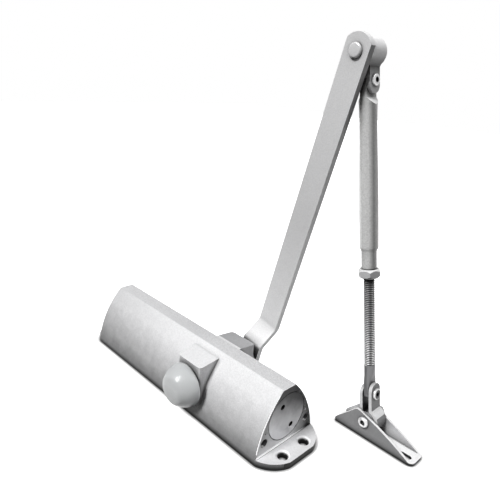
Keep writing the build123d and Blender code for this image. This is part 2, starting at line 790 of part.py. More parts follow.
# ---- forearm -----------------------------------------------------------------------------------
def make_forearm_tube():
    """Tube with its upper end pressed flat for the cross pin and its lower end necked."""
    radius = tube_diameter / 2
    top_radius = tube_top_diameter / 2
    blade = ear_gap - 2 * blade_clearance
    half_ear = ear_width / 2
    flat_bottom = pin_drop + tube_flat_length
    round_top = flat_bottom + tube_taper_length
    flat = box_between(-blade / 2, blade / 2, -half_ear, half_ear, -flat_bottom, -pin_drop)
    flat += cylinder_x(half_ear, -blade / 2, blade / 2, 0, -pin_drop)
    upper = Pos(0, 0, -flat_bottom) * RectangleRounded(blade, ear_width, blade / 2 - 0.3)
    lower = Pos(0, 0, -round_top) * Circle(top_radius)
    tube = flat + loft([upper, lower], ruled=True)
    swell = tube_swell_end - round_top
    tube += Pos(0, 0, -round_top - swell / 2) * Cone(radius, top_radius, swell)
    barrel = tube_round_end - tube_swell_end
    tube += Pos(0, 0, -tube_swell_end - barrel / 2) * Cylinder(radius, barrel)
    neck_radius = neck_diameter / 2
    tube += Pos(0, 0, -tube_round_end - neck_taper / 2) * Cone(neck_radius, radius, neck_taper)
    neck = neck_end - tube_round_end - neck_taper
    tube += Pos(0, 0, -neck_end + neck / 2) * Cylinder(neck_radius, neck)
    bore_top = round_top + 1
    bore = tube_round_end - bore_top
    tube -= Pos(0, 0, -bore_top - bore / 2) * Cylinder(top_radius - tube_wall, bore)
    thread_length = neck_end - tube_round_end + 2
    thread = Cylinder(rod_diameter / 2 + rod_thread_gap, thread_length)
    tube -= Pos(0, 0, -tube_round_end - thread_length / 2 + 1) * thread
    pin_hole = cross_pin_diameter / 2 + running_clearance
    tube -= cylinder_x(pin_hole, -radius, radius, 0, -pin_drop)
    return on_forearm(tube)


def hex_nut(flats, height, bore):
    """Hexagon nut centred on the origin, axis along Z, corners bevelled at both faces."""
    corner = flats / sqrt(3)
    nut = Pos(0, 0, -height / 2) * extrude(RegularPolygon(corner, 6), amount=height)
    bevel = corner - flats / 2
    envelope = Cylinder(corner, height)
    rims = envelope.edges().filter_by(GeomType.CIRCLE)
    envelope = chamfer(rims, length=bevel * 0.5, length2=bevel)
    nut = nut & envelope
    return nut - Cylinder(bore, height + 2)


def make_lock_nut():
    centre = neck_end + nut_gap + nut_height / 2
    nut = hex_nut(nut_flats, nut_height, rod_diameter / 2 + rod_thread_gap)
    return on_forearm(Pos(0, 0, -centre) * Rot(0, 0, nut_turn) * nut)


def make_adjusting_rod():
    """Threaded rod below the tube, its lower end pressed into a blade for the foot pin."""
    radius = rod_diameter / 2
    blade = ear_gap - 2 * blade_clearance
    half_ear = ear_width / 2
    top = neck_end - rod_overlap
    blade_top = foot_pin_place - rod_blade_length
    round_bottom = blade_top - rod_blade_taper
    length = round_bottom - top
    rod = Pos(0, 0, -top - length / 2) * Cylinder(radius, length)
    upper = Pos(0, 0, -round_bottom) * Circle(radius)
    lower = Pos(0, 0, -blade_top) * RectangleRounded(blade, ear_width - 1, blade / 2 - 0.3)
    rod += loft([lower, upper], ruled=True)
    half_blade = (ear_width - 1) / 2
    rod += box_between(-blade / 2, blade / 2, -half_blade, half_blade, -foot_pin_place, -blade_top)
    rod += cylinder_x(half_blade, -blade / 2, blade / 2, 0, -foot_pin_place)
    pin_hole = cross_pin_diameter / 2 + running_clearance
    rod -= cylinder_x(pin_hole, -radius - 2, radius + 2, 0, -foot_pin_place)
    return on_forearm(rod)


# ---- foot --------------------------------------------------------------------------------------
def make_foot_strap():
    width = channel_width - 2 * side_clearance
    band = strap(foot_barrel_diameter, width, foot_pin_rise, 1)
    return on_forearm(Pos(0, 0, -forearm_length) * band)


def make_foot_cross_pin():
    return on_forearm(Pos(0, 0, -foot_pin_place) * cross_pin())


def make_foot_bush():
    """Sleeve on the shoe screw that the foot strap turns on."""
    outer = foot_barrel_diameter / 2 - strap_thickness - running_clearance
    inner = shoe_screw_diameter / 2 + running_clearance
    half = channel_width / 2 - 0.02
    return ring_y(outer, inner, forearm_y - half, forearm_y + half, foot_x, shoe_pivot_height)


def shoe_side():
    """Outline of one side wall in the XZ plane: steep heel, rounded peak, long bowed front."""
    peak = (-shoe_peak_back, shoe_wall_peak)
    toe = (shoe_wall_front, shoe_thickness)
    middle_x = (peak[0] + toe[0]) / 2
    middle_z = (peak[1] + toe[1]) / 2 + shoe_wall_bow
    outline = [
        Line((-shoe_back, 0), (-shoe_back, shoe_wall_heel)),
        Line((-shoe_back, shoe_wall_heel), peak),
        ThreePointArc(peak, (middle_x, middle_z), toe),
        Line(toe, (shoe_wall_front, 0)),
        Line((shoe_wall_front, 0), (-shoe_back, 0)),
    ]
    face = make_face(outline)
    peaks = face.vertices().filter_by(lambda v: v.Y > shoe_wall_peak - 0.1)
    face = fillet(peaks, shoe_peak_round)
    heel = face.vertices().filter_by(lambda v: v.X < -shoe_back + 0.1 and v.Y > 0.1)
    return fillet(heel, shoe_wall_heel / 2)


def make_shoe():
    """Pressed channel that screws to the frame: a floor and two triangular side walls."""
    half = shoe_width / 2
    wall = Plane.XZ * shoe_side()
    shoe = along_y(wall, -half, -half + shoe_thickness)
    shoe += along_y(wall, half - shoe_thickness, half)
    shoe += box_between(-shoe_back, shoe_front, -half, half, 0, shoe_thickness)
    tongue = shoe.edges().filter_by(Axis.Z).filter_by_position(Axis.X, shoe_front - 0.1, shoe_front + 0.1)
    shoe = fillet(tongue, half * 0.5)
    slot = extrude(SlotOverall(shoe_slot_length, shoe_slot_width), amount=2 * shoe_thickness, both=True)
    for place in (shoe_toe_slot, shoe_heel_slot):
        shoe -= Pos(place, shoe_slot_side, 0) * slot
    pin_hole = shoe_screw_diameter / 2 + running_clearance
    shoe -= cylinder_y(pin_hole, -half - 1, half + 1, 0, shoe_pivot_height)
    return Pos(foot_x, forearm_y, 0) * shoe


def make_shoe_screw():
    """Pivot screw across the shoe, head on the near wall."""
    near = forearm_y - shoe_width / 2 - 0.02
    far = forearm_y + shoe_width / 2 + shoe_nut_height + 1.0
    screw = cylinder_y(shoe_screw_diameter / 2, near - 0.5, far, foot_x, shoe_pivot_height)
    head = domed_head(shoe_screw_head / 2, shoe_screw_head_height, 0.7)
    return screw + Pos(foot_x, near, shoe_pivot_height) * Rot(90, 0, 0) * head


def make_shoe_nut():
    start = forearm_y + shoe_width / 2 + 0.05
    nut = hex_nut(shoe_nut_flats, shoe_nut_height, shoe_screw_diameter / 2 + running_clearance)
    return Pos(foot_x, start + shoe_nut_height / 2, shoe_pivot_height) * Rot(90, 0, 0) * nut


parts = {
    "housing": make_housing(),
    "valve_end_plug": make_end_plug(1),
    "spring_end_plug": make_end_plug(-1),
    "plug_seals": make_plug_seals(),
    "pinion_spindle": make_spindle(),
    "near_spindle_bush": make_spindle_bush(-1),
    "far_spindle_bush": make_spindle_bush(1),
    "near_gland": make_spindle_gland(-1),
    "far_gland": make_spindle_gland(1),
    "gland_seals": make_gland_seals(),
    "rack_piston": make_piston(),
    "check_ball": make_check_ball(),
    "ball_retainer": make_ball_retainer(),
    "main_spring": make_main_spring(),
    "sweep_valve": make_speed_valve(-1),
    "latch_valve": make_speed_valve(1),
    "valve_seals": make_valve_seals(),
    "spindle_cap": make_spindle_cap(),
    "main_arm": make_main_arm(),
    "arm_washer": make_arm_washer(),
    "arm_screw": make_arm_screw(),
    "elbow_rivet": make_elbow_rivet(),
    "elbow_bush": make_elbow_bush(),
    "elbow_washer": make_elbow_washer(),
    "elbow_strap": make_elbow_strap(),
    "elbow_cross_pin": make_elbow_cross_pin(),
    "forearm_tube": make_forearm_tube(),
    "lock_nut": make_lock_nut(),
    "adjusting_rod": make_adjusting_rod(),
    "foot_strap": make_foot_strap(),
    "foot_cross_pin": make_foot_cross_pin(),
    "foot_bush": make_foot_bush(),
    "shoe": make_shoe(),
    "shoe_screw": make_shoe_screw(),
    "shoe_nut": make_shoe_nut(),
}

os.makedirs("parts", exist_ok=True)
for name, shape in parts.items():
    export_step(shape, f"parts/{name}.step")
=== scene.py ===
import bpy
import bmesh
import json
from math import atan2, copysign, cos, pi, radians, sin
from mathutils import Matrix, Vector


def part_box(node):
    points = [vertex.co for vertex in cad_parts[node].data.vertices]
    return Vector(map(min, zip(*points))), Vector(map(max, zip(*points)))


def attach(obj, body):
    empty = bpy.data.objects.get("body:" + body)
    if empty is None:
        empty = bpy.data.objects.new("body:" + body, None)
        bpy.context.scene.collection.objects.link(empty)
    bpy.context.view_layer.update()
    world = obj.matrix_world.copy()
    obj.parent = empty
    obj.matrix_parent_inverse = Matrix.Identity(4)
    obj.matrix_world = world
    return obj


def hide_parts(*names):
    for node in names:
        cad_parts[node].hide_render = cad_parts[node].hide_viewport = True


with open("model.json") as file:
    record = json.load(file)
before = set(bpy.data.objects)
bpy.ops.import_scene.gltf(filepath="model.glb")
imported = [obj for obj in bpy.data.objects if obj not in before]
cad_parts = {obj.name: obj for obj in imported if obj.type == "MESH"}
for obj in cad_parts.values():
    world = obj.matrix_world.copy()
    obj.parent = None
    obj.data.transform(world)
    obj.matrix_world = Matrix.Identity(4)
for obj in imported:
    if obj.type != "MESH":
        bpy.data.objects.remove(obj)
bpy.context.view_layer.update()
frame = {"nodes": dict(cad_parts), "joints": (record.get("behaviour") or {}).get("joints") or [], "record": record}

scene = bpy.context.scene
scene.view_settings.view_transform = "Standard"
record = frame["record"]
bodyOf = {node: body for body, nodes in record["behaviour"]["bodies"].items() for node in nodes}
slotOf = {part["node"]: part["material_slot"] for part in record["subparts"]}
millimetre = 0.001


# view
view = {
    "position": (0.28249, -0.22709, 0.24812),
    "right": (0.69464, 0.71663, 0.06261),
    "down": (0.28078, -0.18997, -0.94078),
    "forward": (-0.66230, 0.67109, -0.33318),
    "lens": 35.526,
    "sensor": 36.0,
    "nearest": 0.01,
    "furthest": 20.0,
}


def makeCamera(v):
    data = bpy.data.cameras.new("Camera")
    data.sensor_fit = "HORIZONTAL"
    data.sensor_width = v["sensor"]
    data.lens = v["lens"]
    data.clip_start = v["nearest"]
    data.clip_end = v["furthest"]
    camera = bpy.data.objects.new("Camera", data)
    scene.collection.objects.link(camera)
    right, down, forward = Vector(v["right"]), Vector(v["down"]), Vector(v["forward"])
    turn = Matrix((right, -down, -forward)).transposed().to_4x4()
    camera.matrix_world = Matrix.Translation(v["position"]) @ turn
    scene.camera = camera


makeCamera(view)
print("camera placed")


# node tools
def feed(tree, source, socket):
    # links a socket to another node's output, or gives it a plain value
    if isinstance(source, bpy.types.NodeSocket):
        tree.links.new(source, socket)
    else:
        socket.default_value = source


def newNode(tree, kind, inputs=None, **settings):
    # inputs maps a socket's name or number to what feeds it
    made = tree.nodes.new(kind)
    for key, value in settings.items():
        setattr(made, key, value)
    for key, source in (inputs or {}).items():
        feed(tree, source, made.inputs[key])
    return made


def arithmetic(tree, operation, first, second=0.0):
    return newNode(tree, "ShaderNodeMath", {0: first, 1: second}, operation=operation).outputs[0]


def vectorMath(tree, operation, first, second):
    return newNode(tree, "ShaderNodeVectorMath", {0: first, 1: second}, operation=operation).outputs


def scaled(tree, colour, factor):
    return newNode(tree, "ShaderNodeVectorMath", {0: colour, "Scale": factor}, operation="SCALE").outputs[0]


def noise(tree, vector, scale, detail=3.0, roughness=0.5):
    inputs = {"Vector": vector, "Scale": scale, "Detail": detail, "Roughness": roughness}
    return newNode(tree, "ShaderNodeTexNoise", inputs).outputs["Fac"]


def swing(tree, pattern, amount):
    # a pattern of 0 to 1 as a swing to both sides of nothing
    return arithmetic(tree, "MULTIPLY", arithmetic(tree, "SUBTRACT", pattern, 0.5), amount)


def remap(tree, value, low, high, newLow, newHigh):
    inputs = {"Value": value, "From Min": low, "From Max": high, "To Min": newLow, "To Max": newHigh}
    return newNode(tree, "ShaderNodeMapRange", inputs).outputs["Result"]


def groupTree(name, values, outputs):
    # a shader group that takes a place, a colour and these values
    tree = bpy.data.node_groups.new(name, "ShaderNodeTree")
    tree.interface.new_socket("Vector", in_out="INPUT", socket_type="NodeSocketVector")
    tree.interface.new_socket("Colour", in_out="INPUT", socket_type="NodeSocketColor")
    for label, value in values.items():
        kind = "NodeSocketFloat" if isinstance(value, float) else "NodeSocketVector"
        tree.interface.new_socket(label, in_out="INPUT", socket_type=kind).default_value = value
    for label in outputs:
        kind = "NodeSocketColor" if label == "Colour" else "NodeSocketFloat"
        tree.interface.new_socket(label, in_out="OUTPUT", socket_type=kind)
    return tree, tree.nodes.new("NodeGroupInput").outputs, tree.nodes.new("NodeGroupOutput").inputs


# shader groups
grain = {
    # lumps per metre
    "cloud": 90.0, "peel": 420.0, "speckle": 1500.0, "stain": 130.0, "ripple": 160.0,
    # how strongly they show
    "speckleRoughness": 0.16, "speckleHeight": 0.35, "lineRoughness": 0.3, "stainContrast": 0.10,
    "rippleShare": 0.3,
}


def makeFlakeGroup(g):
    tree, given, result = groupTree(
        "Metal flake in paint",
        {"Flakes per metre": 2600.0, "Flake contrast": 0.07, "Cloud contrast": 0.03, "Roughness": 0.42},
        ["Colour", "Roughness", "Height"],
    )
    where = given["Vector"]
    cells = newNode(tree, "ShaderNodeTexVoronoi", {"Vector": where, "Scale": given["Flakes per metre"]})
    grey = newNode(tree, "ShaderNodeSeparateColor", {0: cells.outputs["Color"]})
    sparkle = swing(tree, grey.outputs[0], given["Flake contrast"])
    cloud = swing(tree, noise(tree, where, g["cloud"], detail=4.0), given["Cloud contrast"])
    factor = arithmetic(tree, "ADD", arithmetic(tree, "ADD", sparkle, cloud), 1.0)
    feed(tree, scaled(tree, given["Colour"], factor), result["Colour"])
    speckle = noise(tree, where, g["speckle"], detail=2.0)
    rough = swing(tree, speckle, g["speckleRoughness"])
    feed(tree, arithmetic(tree, "ADD", rough, given["Roughness"]), result["Roughness"])
    peel = noise(tree, where, g["peel"], detail=2.0)
    fine = arithmetic(tree, "MULTIPLY", speckle, g["speckleHeight"])
    feed(tree, arithmetic(tree, "ADD", peel, fine), result["Height"])
    return tree


def makeMachinedGroup(g):
    tree, given, result = groupTree(
        "Machined metal",
        {"Stretch": (1.0, 1.0, 1.0), "Lines per metre": 900.0, "Line contrast": 0.10, "Roughness": 0.3},
        ["Colour", "Roughness", "Height"],
    )
    where = given["Vector"]
    stretched = vectorMath(tree, "MULTIPLY", where, given["Stretch"])[0]
    lines = noise(tree, stretched, given["Lines per metre"], detail=5.0, roughness=0.65)
    lined = swing(tree, lines, given["Line contrast"])
    stained = swing(tree, noise(tree, where, g["stain"]), g["stainContrast"])
    factor = arithmetic(tree, "ADD", arithmetic(tree, "ADD", lined, stained), 1.0)
    feed(tree, scaled(tree, given["Colour"], factor), result["Colour"])
    rough = swing(tree, lines, g["lineRoughness"])
    feed(tree, arithmetic(tree, "ADD", rough, given["Roughness"]), result["Roughness"])
    feed(tree, lines, result["Height"])
    return tree


def makePaintedShadeGroup(g):
    # painted light and shade: darkens or lightens a finish with the distance from a plane, where the light reaches
    # it less or more
    tree, given, result = groupTree(
        "Shade across a piece",
        {"Centre": (0.0, 0.0, 0.0), "Axis": (0.0, 0.0, 1.0), "From": 0.0, "To": 0.01, "Shade at from": 0.7,
         "Shade at to": 1.0},
        ["Colour"],
    )
    where = given["Vector"]
    offset = vectorMath(tree, "SUBTRACT", where, given["Centre"])[0]
    along = vectorMath(tree, "DOT_PRODUCT", offset, given["Axis"])["Value"]
    span = arithmetic(tree, "SUBTRACT", given["To"], given["From"])
    reach = arithmetic(tree, "MULTIPLY", span, g["rippleShare"])
    ripple = swing(tree, noise(tree, where, g["ripple"]), reach)
    distance = arithmetic(tree, "ADD", arithmetic(tree, "ABSOLUTE", along), ripple)
    shade = remap(tree, distance, given["From"], given["To"], given["Shade at from"], given["Shade at to"])
    feed(tree, scaled(tree, given["Colour"], shade), result["Colour"])
    return tree


def makeGrooveShadeGroup():
    # painted shade at the bottom of a thread, by the distance from the rod's own axis
    tree, given, result = groupTree(
        "Dark thread grooves",
        {"Axis point": (0.0, 0.0, 0.0), "Axis": (0.0, 0.0, 1.0), "Groove radius": 0.0033,
         "Crest radius": 0.0039, "Groove shade": 0.1},
        ["Colour"],
    )
    offset = vectorMath(tree, "SUBTRACT", given["Vector"], given["Axis point"])[0]
    across = vectorMath(tree, "CROSS_PRODUCT", offset, given["Axis"])[0]
    reach = newNode(tree, "ShaderNodeVectorMath", {0: across}, operation="LENGTH").outputs["Value"]
    shade = remap(tree, reach, given["Groove radius"], given["Crest radius"], given["Groove shade"], 1.0)
    feed(tree, scaled(tree, given["Colour"], shade), result["Colour"])
    return tree


flakeGroup = makeFlakeGroup(grain)
machinedGroup = makeMachinedGroup(grain)
grooveShadeGroup = makeGrooveShadeGroup()
paintedShadeGroup = makePaintedShadeGroup(grain)


# materials
# painted shade in crevices, from ambient occlusion: how fast it darkens, and how many metres it reaches
creviceShade = {"power": 1.6, "paint": 0.011, "metal": 0.007, "housing": 0.004}    # how fast, and how many metres
relief = {"paint": (0.00006, 0.6), "metal": (0.00003, 0.5)}                   # height in metres, and strength
shadeInputs = ("Centre", "Axis", "From", "To", "Shade at from", "Shade at to")


def newMaterial(name):
    material = bpy.data.materials.new(name)
    material.use_nodes = True
    tree = material.node_tree
    return material, tree, tree.nodes["Principled BSDF"]


def finishMaterial(name, group, settings, bumps, values, metallic=0.0, shades=(), groove=None,
                   gap=creviceShade["metal"]):
    material, tree, shader = newMaterial(name)
    where = newNode(tree, "ShaderNodeTexCoord").outputs["Object"]
    base = newNode(tree, "ShaderNodeGroup", node_tree=group)
    layers = [(base, settings)]
    for shade in shades:
        layers.append((newNode(tree, "ShaderNodeGroup", node_tree=paintedShadeGroup), dict(zip(shadeInputs, shade))))
    if groove:
        layers.append((newNode(tree, "ShaderNodeGroup", node_tree=grooveShadeGroup), groove))
    colour = settings["Colour"]
    for layer, given in layers:
        for label, source in {**given, "Vector": where, "Colour": colour}.items():
            feed(tree, source, layer.inputs[label])
        colour = layer.outputs["Colour"]
    # painted shade in the gaps and corners: ambient occlusion darkens the base colour
    gaps = newNode(tree, "ShaderNodeAmbientOcclusion", {"Distance": gap}, samples=8)
    unshadedShare = arithmetic(tree, "POWER", gaps.outputs["AO"], creviceShade["power"])
    bump = newNode(tree, "ShaderNodeBump", {
        "Distance": bumps[0], "Strength": bumps[1], "Height": base.outputs["Height"],
    })
    inputs = {
        "Base Color": scaled(tree, colour, unshadedShare), "Roughness": base.outputs["Roughness"],
        "Normal": bump.outputs[0], "Metallic": metallic, **values,
    }
    for label, source in inputs.items():
        feed(tree, source, shader.inputs[label])
    return material


def paint(name, colour, flakes, contrast, roughness, metallic=0.0, shades=(), gap=creviceShade["paint"]):
    settings = {
        "Colour": (*colour, 1), "Flakes per metre": flakes, "Flake contrast": contrast,
        "Roughness": roughness,
    }
    values = {"Specular IOR Level": 0.2}
    return finishMaterial(name, flakeGroup, settings, relief["paint"], values, metallic, shades, None, gap)


def metal(name, colour, lines, contrast, roughness, metallic=1.0, shades=(), groove=None,
          gap=creviceShade["metal"], stretch=(1.0, 1.0, 1.0)):
    settings = {
        "Colour": (*colour, 1), "Stretch": stretch, "Lines per metre": lines, "Line contrast": contrast,
        "Roughness": roughness,
    }
    values = {"Specular IOR Level": 0.12}
    return finishMaterial(name, machinedGroup, settings, relief["metal"], values, metallic, shades, groove,
                          gap)


# places taken from the joints and the solids
def boxOf(name):
    low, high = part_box(name)
    return low, high, (low + high) / 2


joints = {joint["name"]: joint for joint in frame["joints"]}
elbowAxis = Vector(joints["elbow_turn"]["pos_m"])
upperPin = Vector(joints["elbow_tilt"]["pos_m"])
lowerPin = Vector(joints["foot_tilt"]["pos_m"])
shoePivot = Vector(joints["foot_turn"]["pos_m"])
spindleAxis = Vector(joints["spindle_turn"]["pos_m"])
acrossForearm = Vector(joints["elbow_tilt"]["axis"])
downForearm = Vector(joints["rod_extend"]["axis"])
alongArm = Vector((elbowAxis.x - spindleAxis.x, 0.0, elbowAxis.z - spindleAxis.z)).normalized()
# the forearm's painted band of shade lies on this side
shadeBandSide = Vector((0.72, 0.69, 0.0))        # the side on which the forearm has a dark band
shadeBandSide = (shadeBandSide - shadeBandSide.dot(downForearm) * downForearm).normalized()
plugTop = (0.0, 0.010, boxOf("valve_end_plug")[1].z)
shoeLow, shoeHigh, shoeMiddle = boxOf("shoe")
shoeHalf = (shoeHigh.y - shoeLow.y) / 2
ground = (0.0, 0.0, 0.0)
lengthways, crossways, upright = (1.0, 0.0, 0.0), (0.0, 1.0, 0.0), (0.0, 0.0, 1.0)

# painted light and shade: each row below makes a finish darker or lighter by its distance from a plane, standing
# in for how the light falls
paintedShadesOf = {
    # each row: centre, axis, from and to in metres on both sides of the centre, shade at from, shade at to
    # painted shade: the housing darker towards the bottom, at its foot and at its far end
    "housing": [
        (ground, upright, 0.006, 0.040, 0.36, 1.0),
        (ground, upright, 0.0014, 0.0050, 0.07, 1.0),
        (ground, upright, 0.005, 0.017, 0.74, 1.0),
        ((-0.105, 0.0, 0.0), lengthways, 0.0, 0.10, 0.76, 1.0),
    ],
    # painted shade, darker towards the top and far side of the end face, and a painted highlight line along its
    # foot
    "endFace": [
        ((0.0, 0.0, 0.054), upright, 0.010, 0.040, 0.10, 1.0),
        ((0.0, 0.034, 0.0), crossways, 0.010, 0.030, 0.0, 1.0),
        ((0.0, 0.0, 0.005), upright, 0.0009, 0.0012, 3.0, 1.0),
    ],
    # painted shade in the lower part of each countersink
    "countersinkLightAndShade": [(ground, upright, 0.0034, 0.0042, 0.02, 1.0)],
    # painted highlight on the end face's rim
    "rim": [(ground, upright, 0.0, 0.04, 2.2, 1.4)],
    # painted shade, laid on twice, from the plug's dark top to its light lower side
    "plug": [(plugTop, (0.0, -0.42, -0.91), 0.007, 0.033, 0.24, 1.0)] * 2,
    # painted shade towards the cap's lower side
    "cap": [((0.0, 0.0, spindleAxis.z + 0.017), upright, 0.014, 0.034, 1.0, 0.46)],
    # painted shade in the arm's middle, and a painted highlight near the spindle
    "arm": [
        ((elbowAxis + spindleAxis) / 2, alongArm, 0.0, 0.10, 0.82, 1.0),
        (spindleAxis, alongArm, 0.0, 0.030, 1.12, 1.0),
    ],
    # painted shade on the arm's side near the elbow, rising to a painted highlight towards the spindle
    "armEdgeShade": [(elbowAxis, alongArm, 0.0, 0.16, 0.42, 2.9)],
    # painted shade: darker below the elbow's barrel, darkest along the barrel's bottom
    "elbow": [
        ((0.0, 0.0, elbowAxis.z + 0.012), upright, 0.012, 0.026, 1.0, 0.60),
        ((0.0, 0.0, elbowAxis.z - 0.0085), upright, 0.0, 0.0062, 0.03, 1.0),
    ],
    # painted shade in a band down the tube, and a painted highlight on its edge beyond
    "tube": [
        (elbowAxis + 0.0021 * shadeBandSide, shadeBandSide, 0.0004, 0.0034, 0.38, 1.0),
        (elbowAxis, shadeBandSide, 0.0054, 0.0064, 1.0, 1.7),
    ],
    # painted shade towards the lock nut and in a band down the rod, lighter beyond as a painted highlight
    "rod": [
        (elbowAxis + 0.148 * downForearm, downForearm, 0.0, 0.055, 0.50, 1.25),
        (elbowAxis + 0.0002 * shadeBandSide, shadeBandSide, 0.0004, 0.0020, 0.45, 1.05),
    ],
    # painted shade on the shoe's outer walls and along its bottom edge
    "shoe": [
        (shoeMiddle, crossways, shoeHalf - 0.0019, shoeHalf - 0.0016, 1.0, 0.48),
        (ground, upright, 0.0007, 0.0028, 0.12, 1.0),
    ],
}
# painted shade of the foot and the far end alone, for the flange's faces
flangePaintedShades = paintedShadesOf["housing"][1::2]        # the foot's and the far end's alone
# painted shade in the thread's grooves
rodGrooveShade = {
    "Axis point": elbowAxis, "Axis": downForearm, "Groove radius": 0.00350, "Crest radius": 0.00386,
    "Groove shade": 0.0,
}

# after the colour come flakes or lines per metre, their contrast, the roughness and how metallic it is
casting = {"shades": paintedShadesOf["housing"], "gap": creviceShade["housing"]}
finishes = {
    "silver_paint": paint("Silver housing paint", (0.88, 0.88, 0.89), 1500.0, 0.13, 0.42, **casting),
    "arm_paint": paint("Silver arm paint", (0.85, 0.85, 0.855), 1700.0, 0.09, 0.46, shades=paintedShadesOf["arm"]),
    "tube_paint": paint("Silver tube paint", (0.66, 0.66, 0.655), 1500.0, 0.22, 0.36, 0.1, paintedShadesOf["tube"]),
    "shoe_paint": paint("Silver shoe paint", (0.66, 0.66, 0.67), 1700.0, 0.16, 0.40, 0.0, paintedShadesOf["shoe"],
                        0.007),
    "plug_metal": metal("Turned plug metal", (0.83, 0.83, 0.85), 700.0, 0.12, 0.36, 0.35, paintedShadesOf["plug"],
                        gap=0.002),
    "zinc_steel": metal("Bright zinc plate", (0.30, 0.30, 0.305), 1100.0, 0.14, 0.34, 0.2),
    "machined_steel": metal("Machined steel", (0.50, 0.50, 0.51), 1300.0, 0.20, 0.30,
                            stretch=(0.15, 1.0, 1.0)),
    "cast_piston": metal("Ground cast iron", (0.36, 0.36, 0.37), 1600.0, 0.25, 0.42, 0.9),
    "spring_steel": metal("Oil tempered wire", (0.24, 0.24, 0.26), 1600.0, 0.20, 0.34, 0.9),
    "bronze": metal("Turned bronze", (0.66, 0.47, 0.22), 1200.0, 0.14, 0.34),
    "seal_rubber": metal("Black seal rubber", (0.03, 0.03, 0.03), 900.0, 0.3, 0.55, 0.0),
}
capPlastic = {
    "settings": {
        "Colour": (0.595, 0.61, 0.615, 1), "Flakes per metre": 260.0, "Flake contrast": 0.015,
        "Cloud contrast": 0.05, "Roughness": 0.30,
    },
    "values": {
        "Subsurface Weight": 0.35, "Subsurface Scale": 0.004, "Subsurface Radius": (1.0, 1.0, 1.0),
        "Coat Weight": 0.05, "Coat Roughness": 0.10,
    },
}
finishes["cap_plastic"] = finishMaterial("Milky cap plastic", flakeGroup, bumps=relief["metal"],
                                         shades=paintedShadesOf["cap"], **capPlastic)

# finishes for single faces and pieces; most are painted shade or painted highlight, darker or lighter copies of a
# paint for faces that the light reaches less or more
# thread steel with painted shade and painted highlight along the rod
threadSteel = metal("Thread steel", (0.95, 0.95, 0.955), 1100.0, 0.2, 0.30, 0.2, paintedShadesOf["rod"], rodGrooveShade)
bladeSteel = metal("Pressed blade steel", (0.22, 0.22, 0.225), 900.0, 0.16, 0.36, 0.35)
# painted shade on the middle of the cross pins' heads
rivetFaceShade = metal("Dark rivet face", (0.10, 0.10, 0.105), 1100.0, 0.12, 0.36, 0.1)
# bright zinc on the pins and shoe rivet, also laid on the elbow rivet's upward faces as a painted highlight
brightZincAndHighlight = metal("Bright rivet zinc", (0.86, 0.86, 0.865), 1100.0, 0.08, 0.30, 0.4)
# machined end face, with painted shade and a painted highlight line laid over it
endFace = metal("Machined end face", (0.85, 0.85, 0.86), 600.0, 0.14, 0.42, 0.0, paintedShadesOf["endFace"],
                gap=0.0003)
# painted shade: darker copies of the housing paint for the boss's front, its end and the far boss's top
bossSideShade = paint("Boss side paint", (0.58, 0.58, 0.585), 1500.0, 0.13, 0.42, **casting)
bossEndShade = paint("Boss end paint", (0.62, 0.62, 0.63), 1500.0, 0.13, 0.42, **casting)
rearBossShade = paint("Rear boss paint", (0.44, 0.44, 0.45), 1500.0, 0.13, 0.42)
# painted shade: the crest in a darker copy of the housing paint
crestShade = paint("Crest paint", (0.70, 0.70, 0.71), 1500.0, 0.22, 0.42)
# painted shade on the housing's downward faces
undersideShade = paint("Underside paint", (0.16, 0.16, 0.165), 1500.0, 0.13, 0.42)
holeShade = paint("Screw hole shade", (0.03, 0.03, 0.03), 1500.0, 0.05, 0.5)
# painted highlight on the countersinks, with painted shade in their lower part
countersinkLightAndShade = paint("Countersink", (0.95, 0.95, 0.96), 1500.0, 0.05, 0.34, 0.0, paintedShadesOf["countersinkLightAndShade"],
                    0.0006)
# painted highlight: a bright line along the end face's rim
rimHighlight = paint("Bright casting rim", (0.98, 0.98, 0.985), 1500.0, 0.05, 0.34, 0.0, paintedShadesOf["rim"], 0.0004)
# painted shade: the flange's top in a darker copy of the housing paint
flangeTop = paint("Flange top paint", (0.76, 0.76, 0.77), 1500.0, 0.10, 0.34, 0.0, flangePaintedShades, 0.0012)
# painted shadow: the flange's end face painted near black
flangeEndShadow = paint("Flange end paint", (0.012, 0.012, 0.012), 1500.0, 0.05, 0.5)
# painted shade on the arm's side faces, lighter towards the spindle
armEdgeShade = paint("Arm edge paint", (0.42, 0.42, 0.425), 1700.0, 0.06, 0.40, shades=paintedShadesOf["armEdgeShade"])
# the elbow strap in a light paint with painted shade below the barrel
elbowLightAndShade = paint("Elbow barrel paint", (0.95, 0.95, 0.955), 1700.0, 0.08, 0.40, 0.0, paintedShadesOf["elbow"],
                   0.002)
# painted shade on the foot strap's ear faces
strapSideShade = paint("Strap side paint", (0.26, 0.26, 0.265), 1700.0, 0.10, 0.40)
# painted shade on the lock nut's front and side facets
nutFrontShade = paint("Lock nut front paint", (0.58, 0.58, 0.585), 1700.0, 0.10, 0.40)
nutSideShade = paint("Dark side paint", (0.36, 0.36, 0.365), 1700.0, 0.06, 0.40)
wornAndLitEdges = {
    # thin paint and bare metal on the rounded edges, and a painted highlight where these finishes go on up-facing
    # faces, the arm's tip and the tube's crease
    "silver_paint": paint("Bright housing edges", (0.95, 0.95, 0.96), 1500.0, 0.05, 0.34, 0.0, flangePaintedShades,
                          0.0012),
    "arm_paint": paint("Bright strap edges", (0.95, 0.95, 0.955), 1700.0, 0.05, 0.32, gap=0.004),
    "shoe_paint": paint("Bright shoe edges", (0.97, 0.97, 0.975), 1700.0, 0.05, 0.30, gap=0.0015),
    "tube_paint": paint("Bright nut edges", (0.90, 0.90, 0.90), 1700.0, 0.05, 0.32),
}
print("materials made")


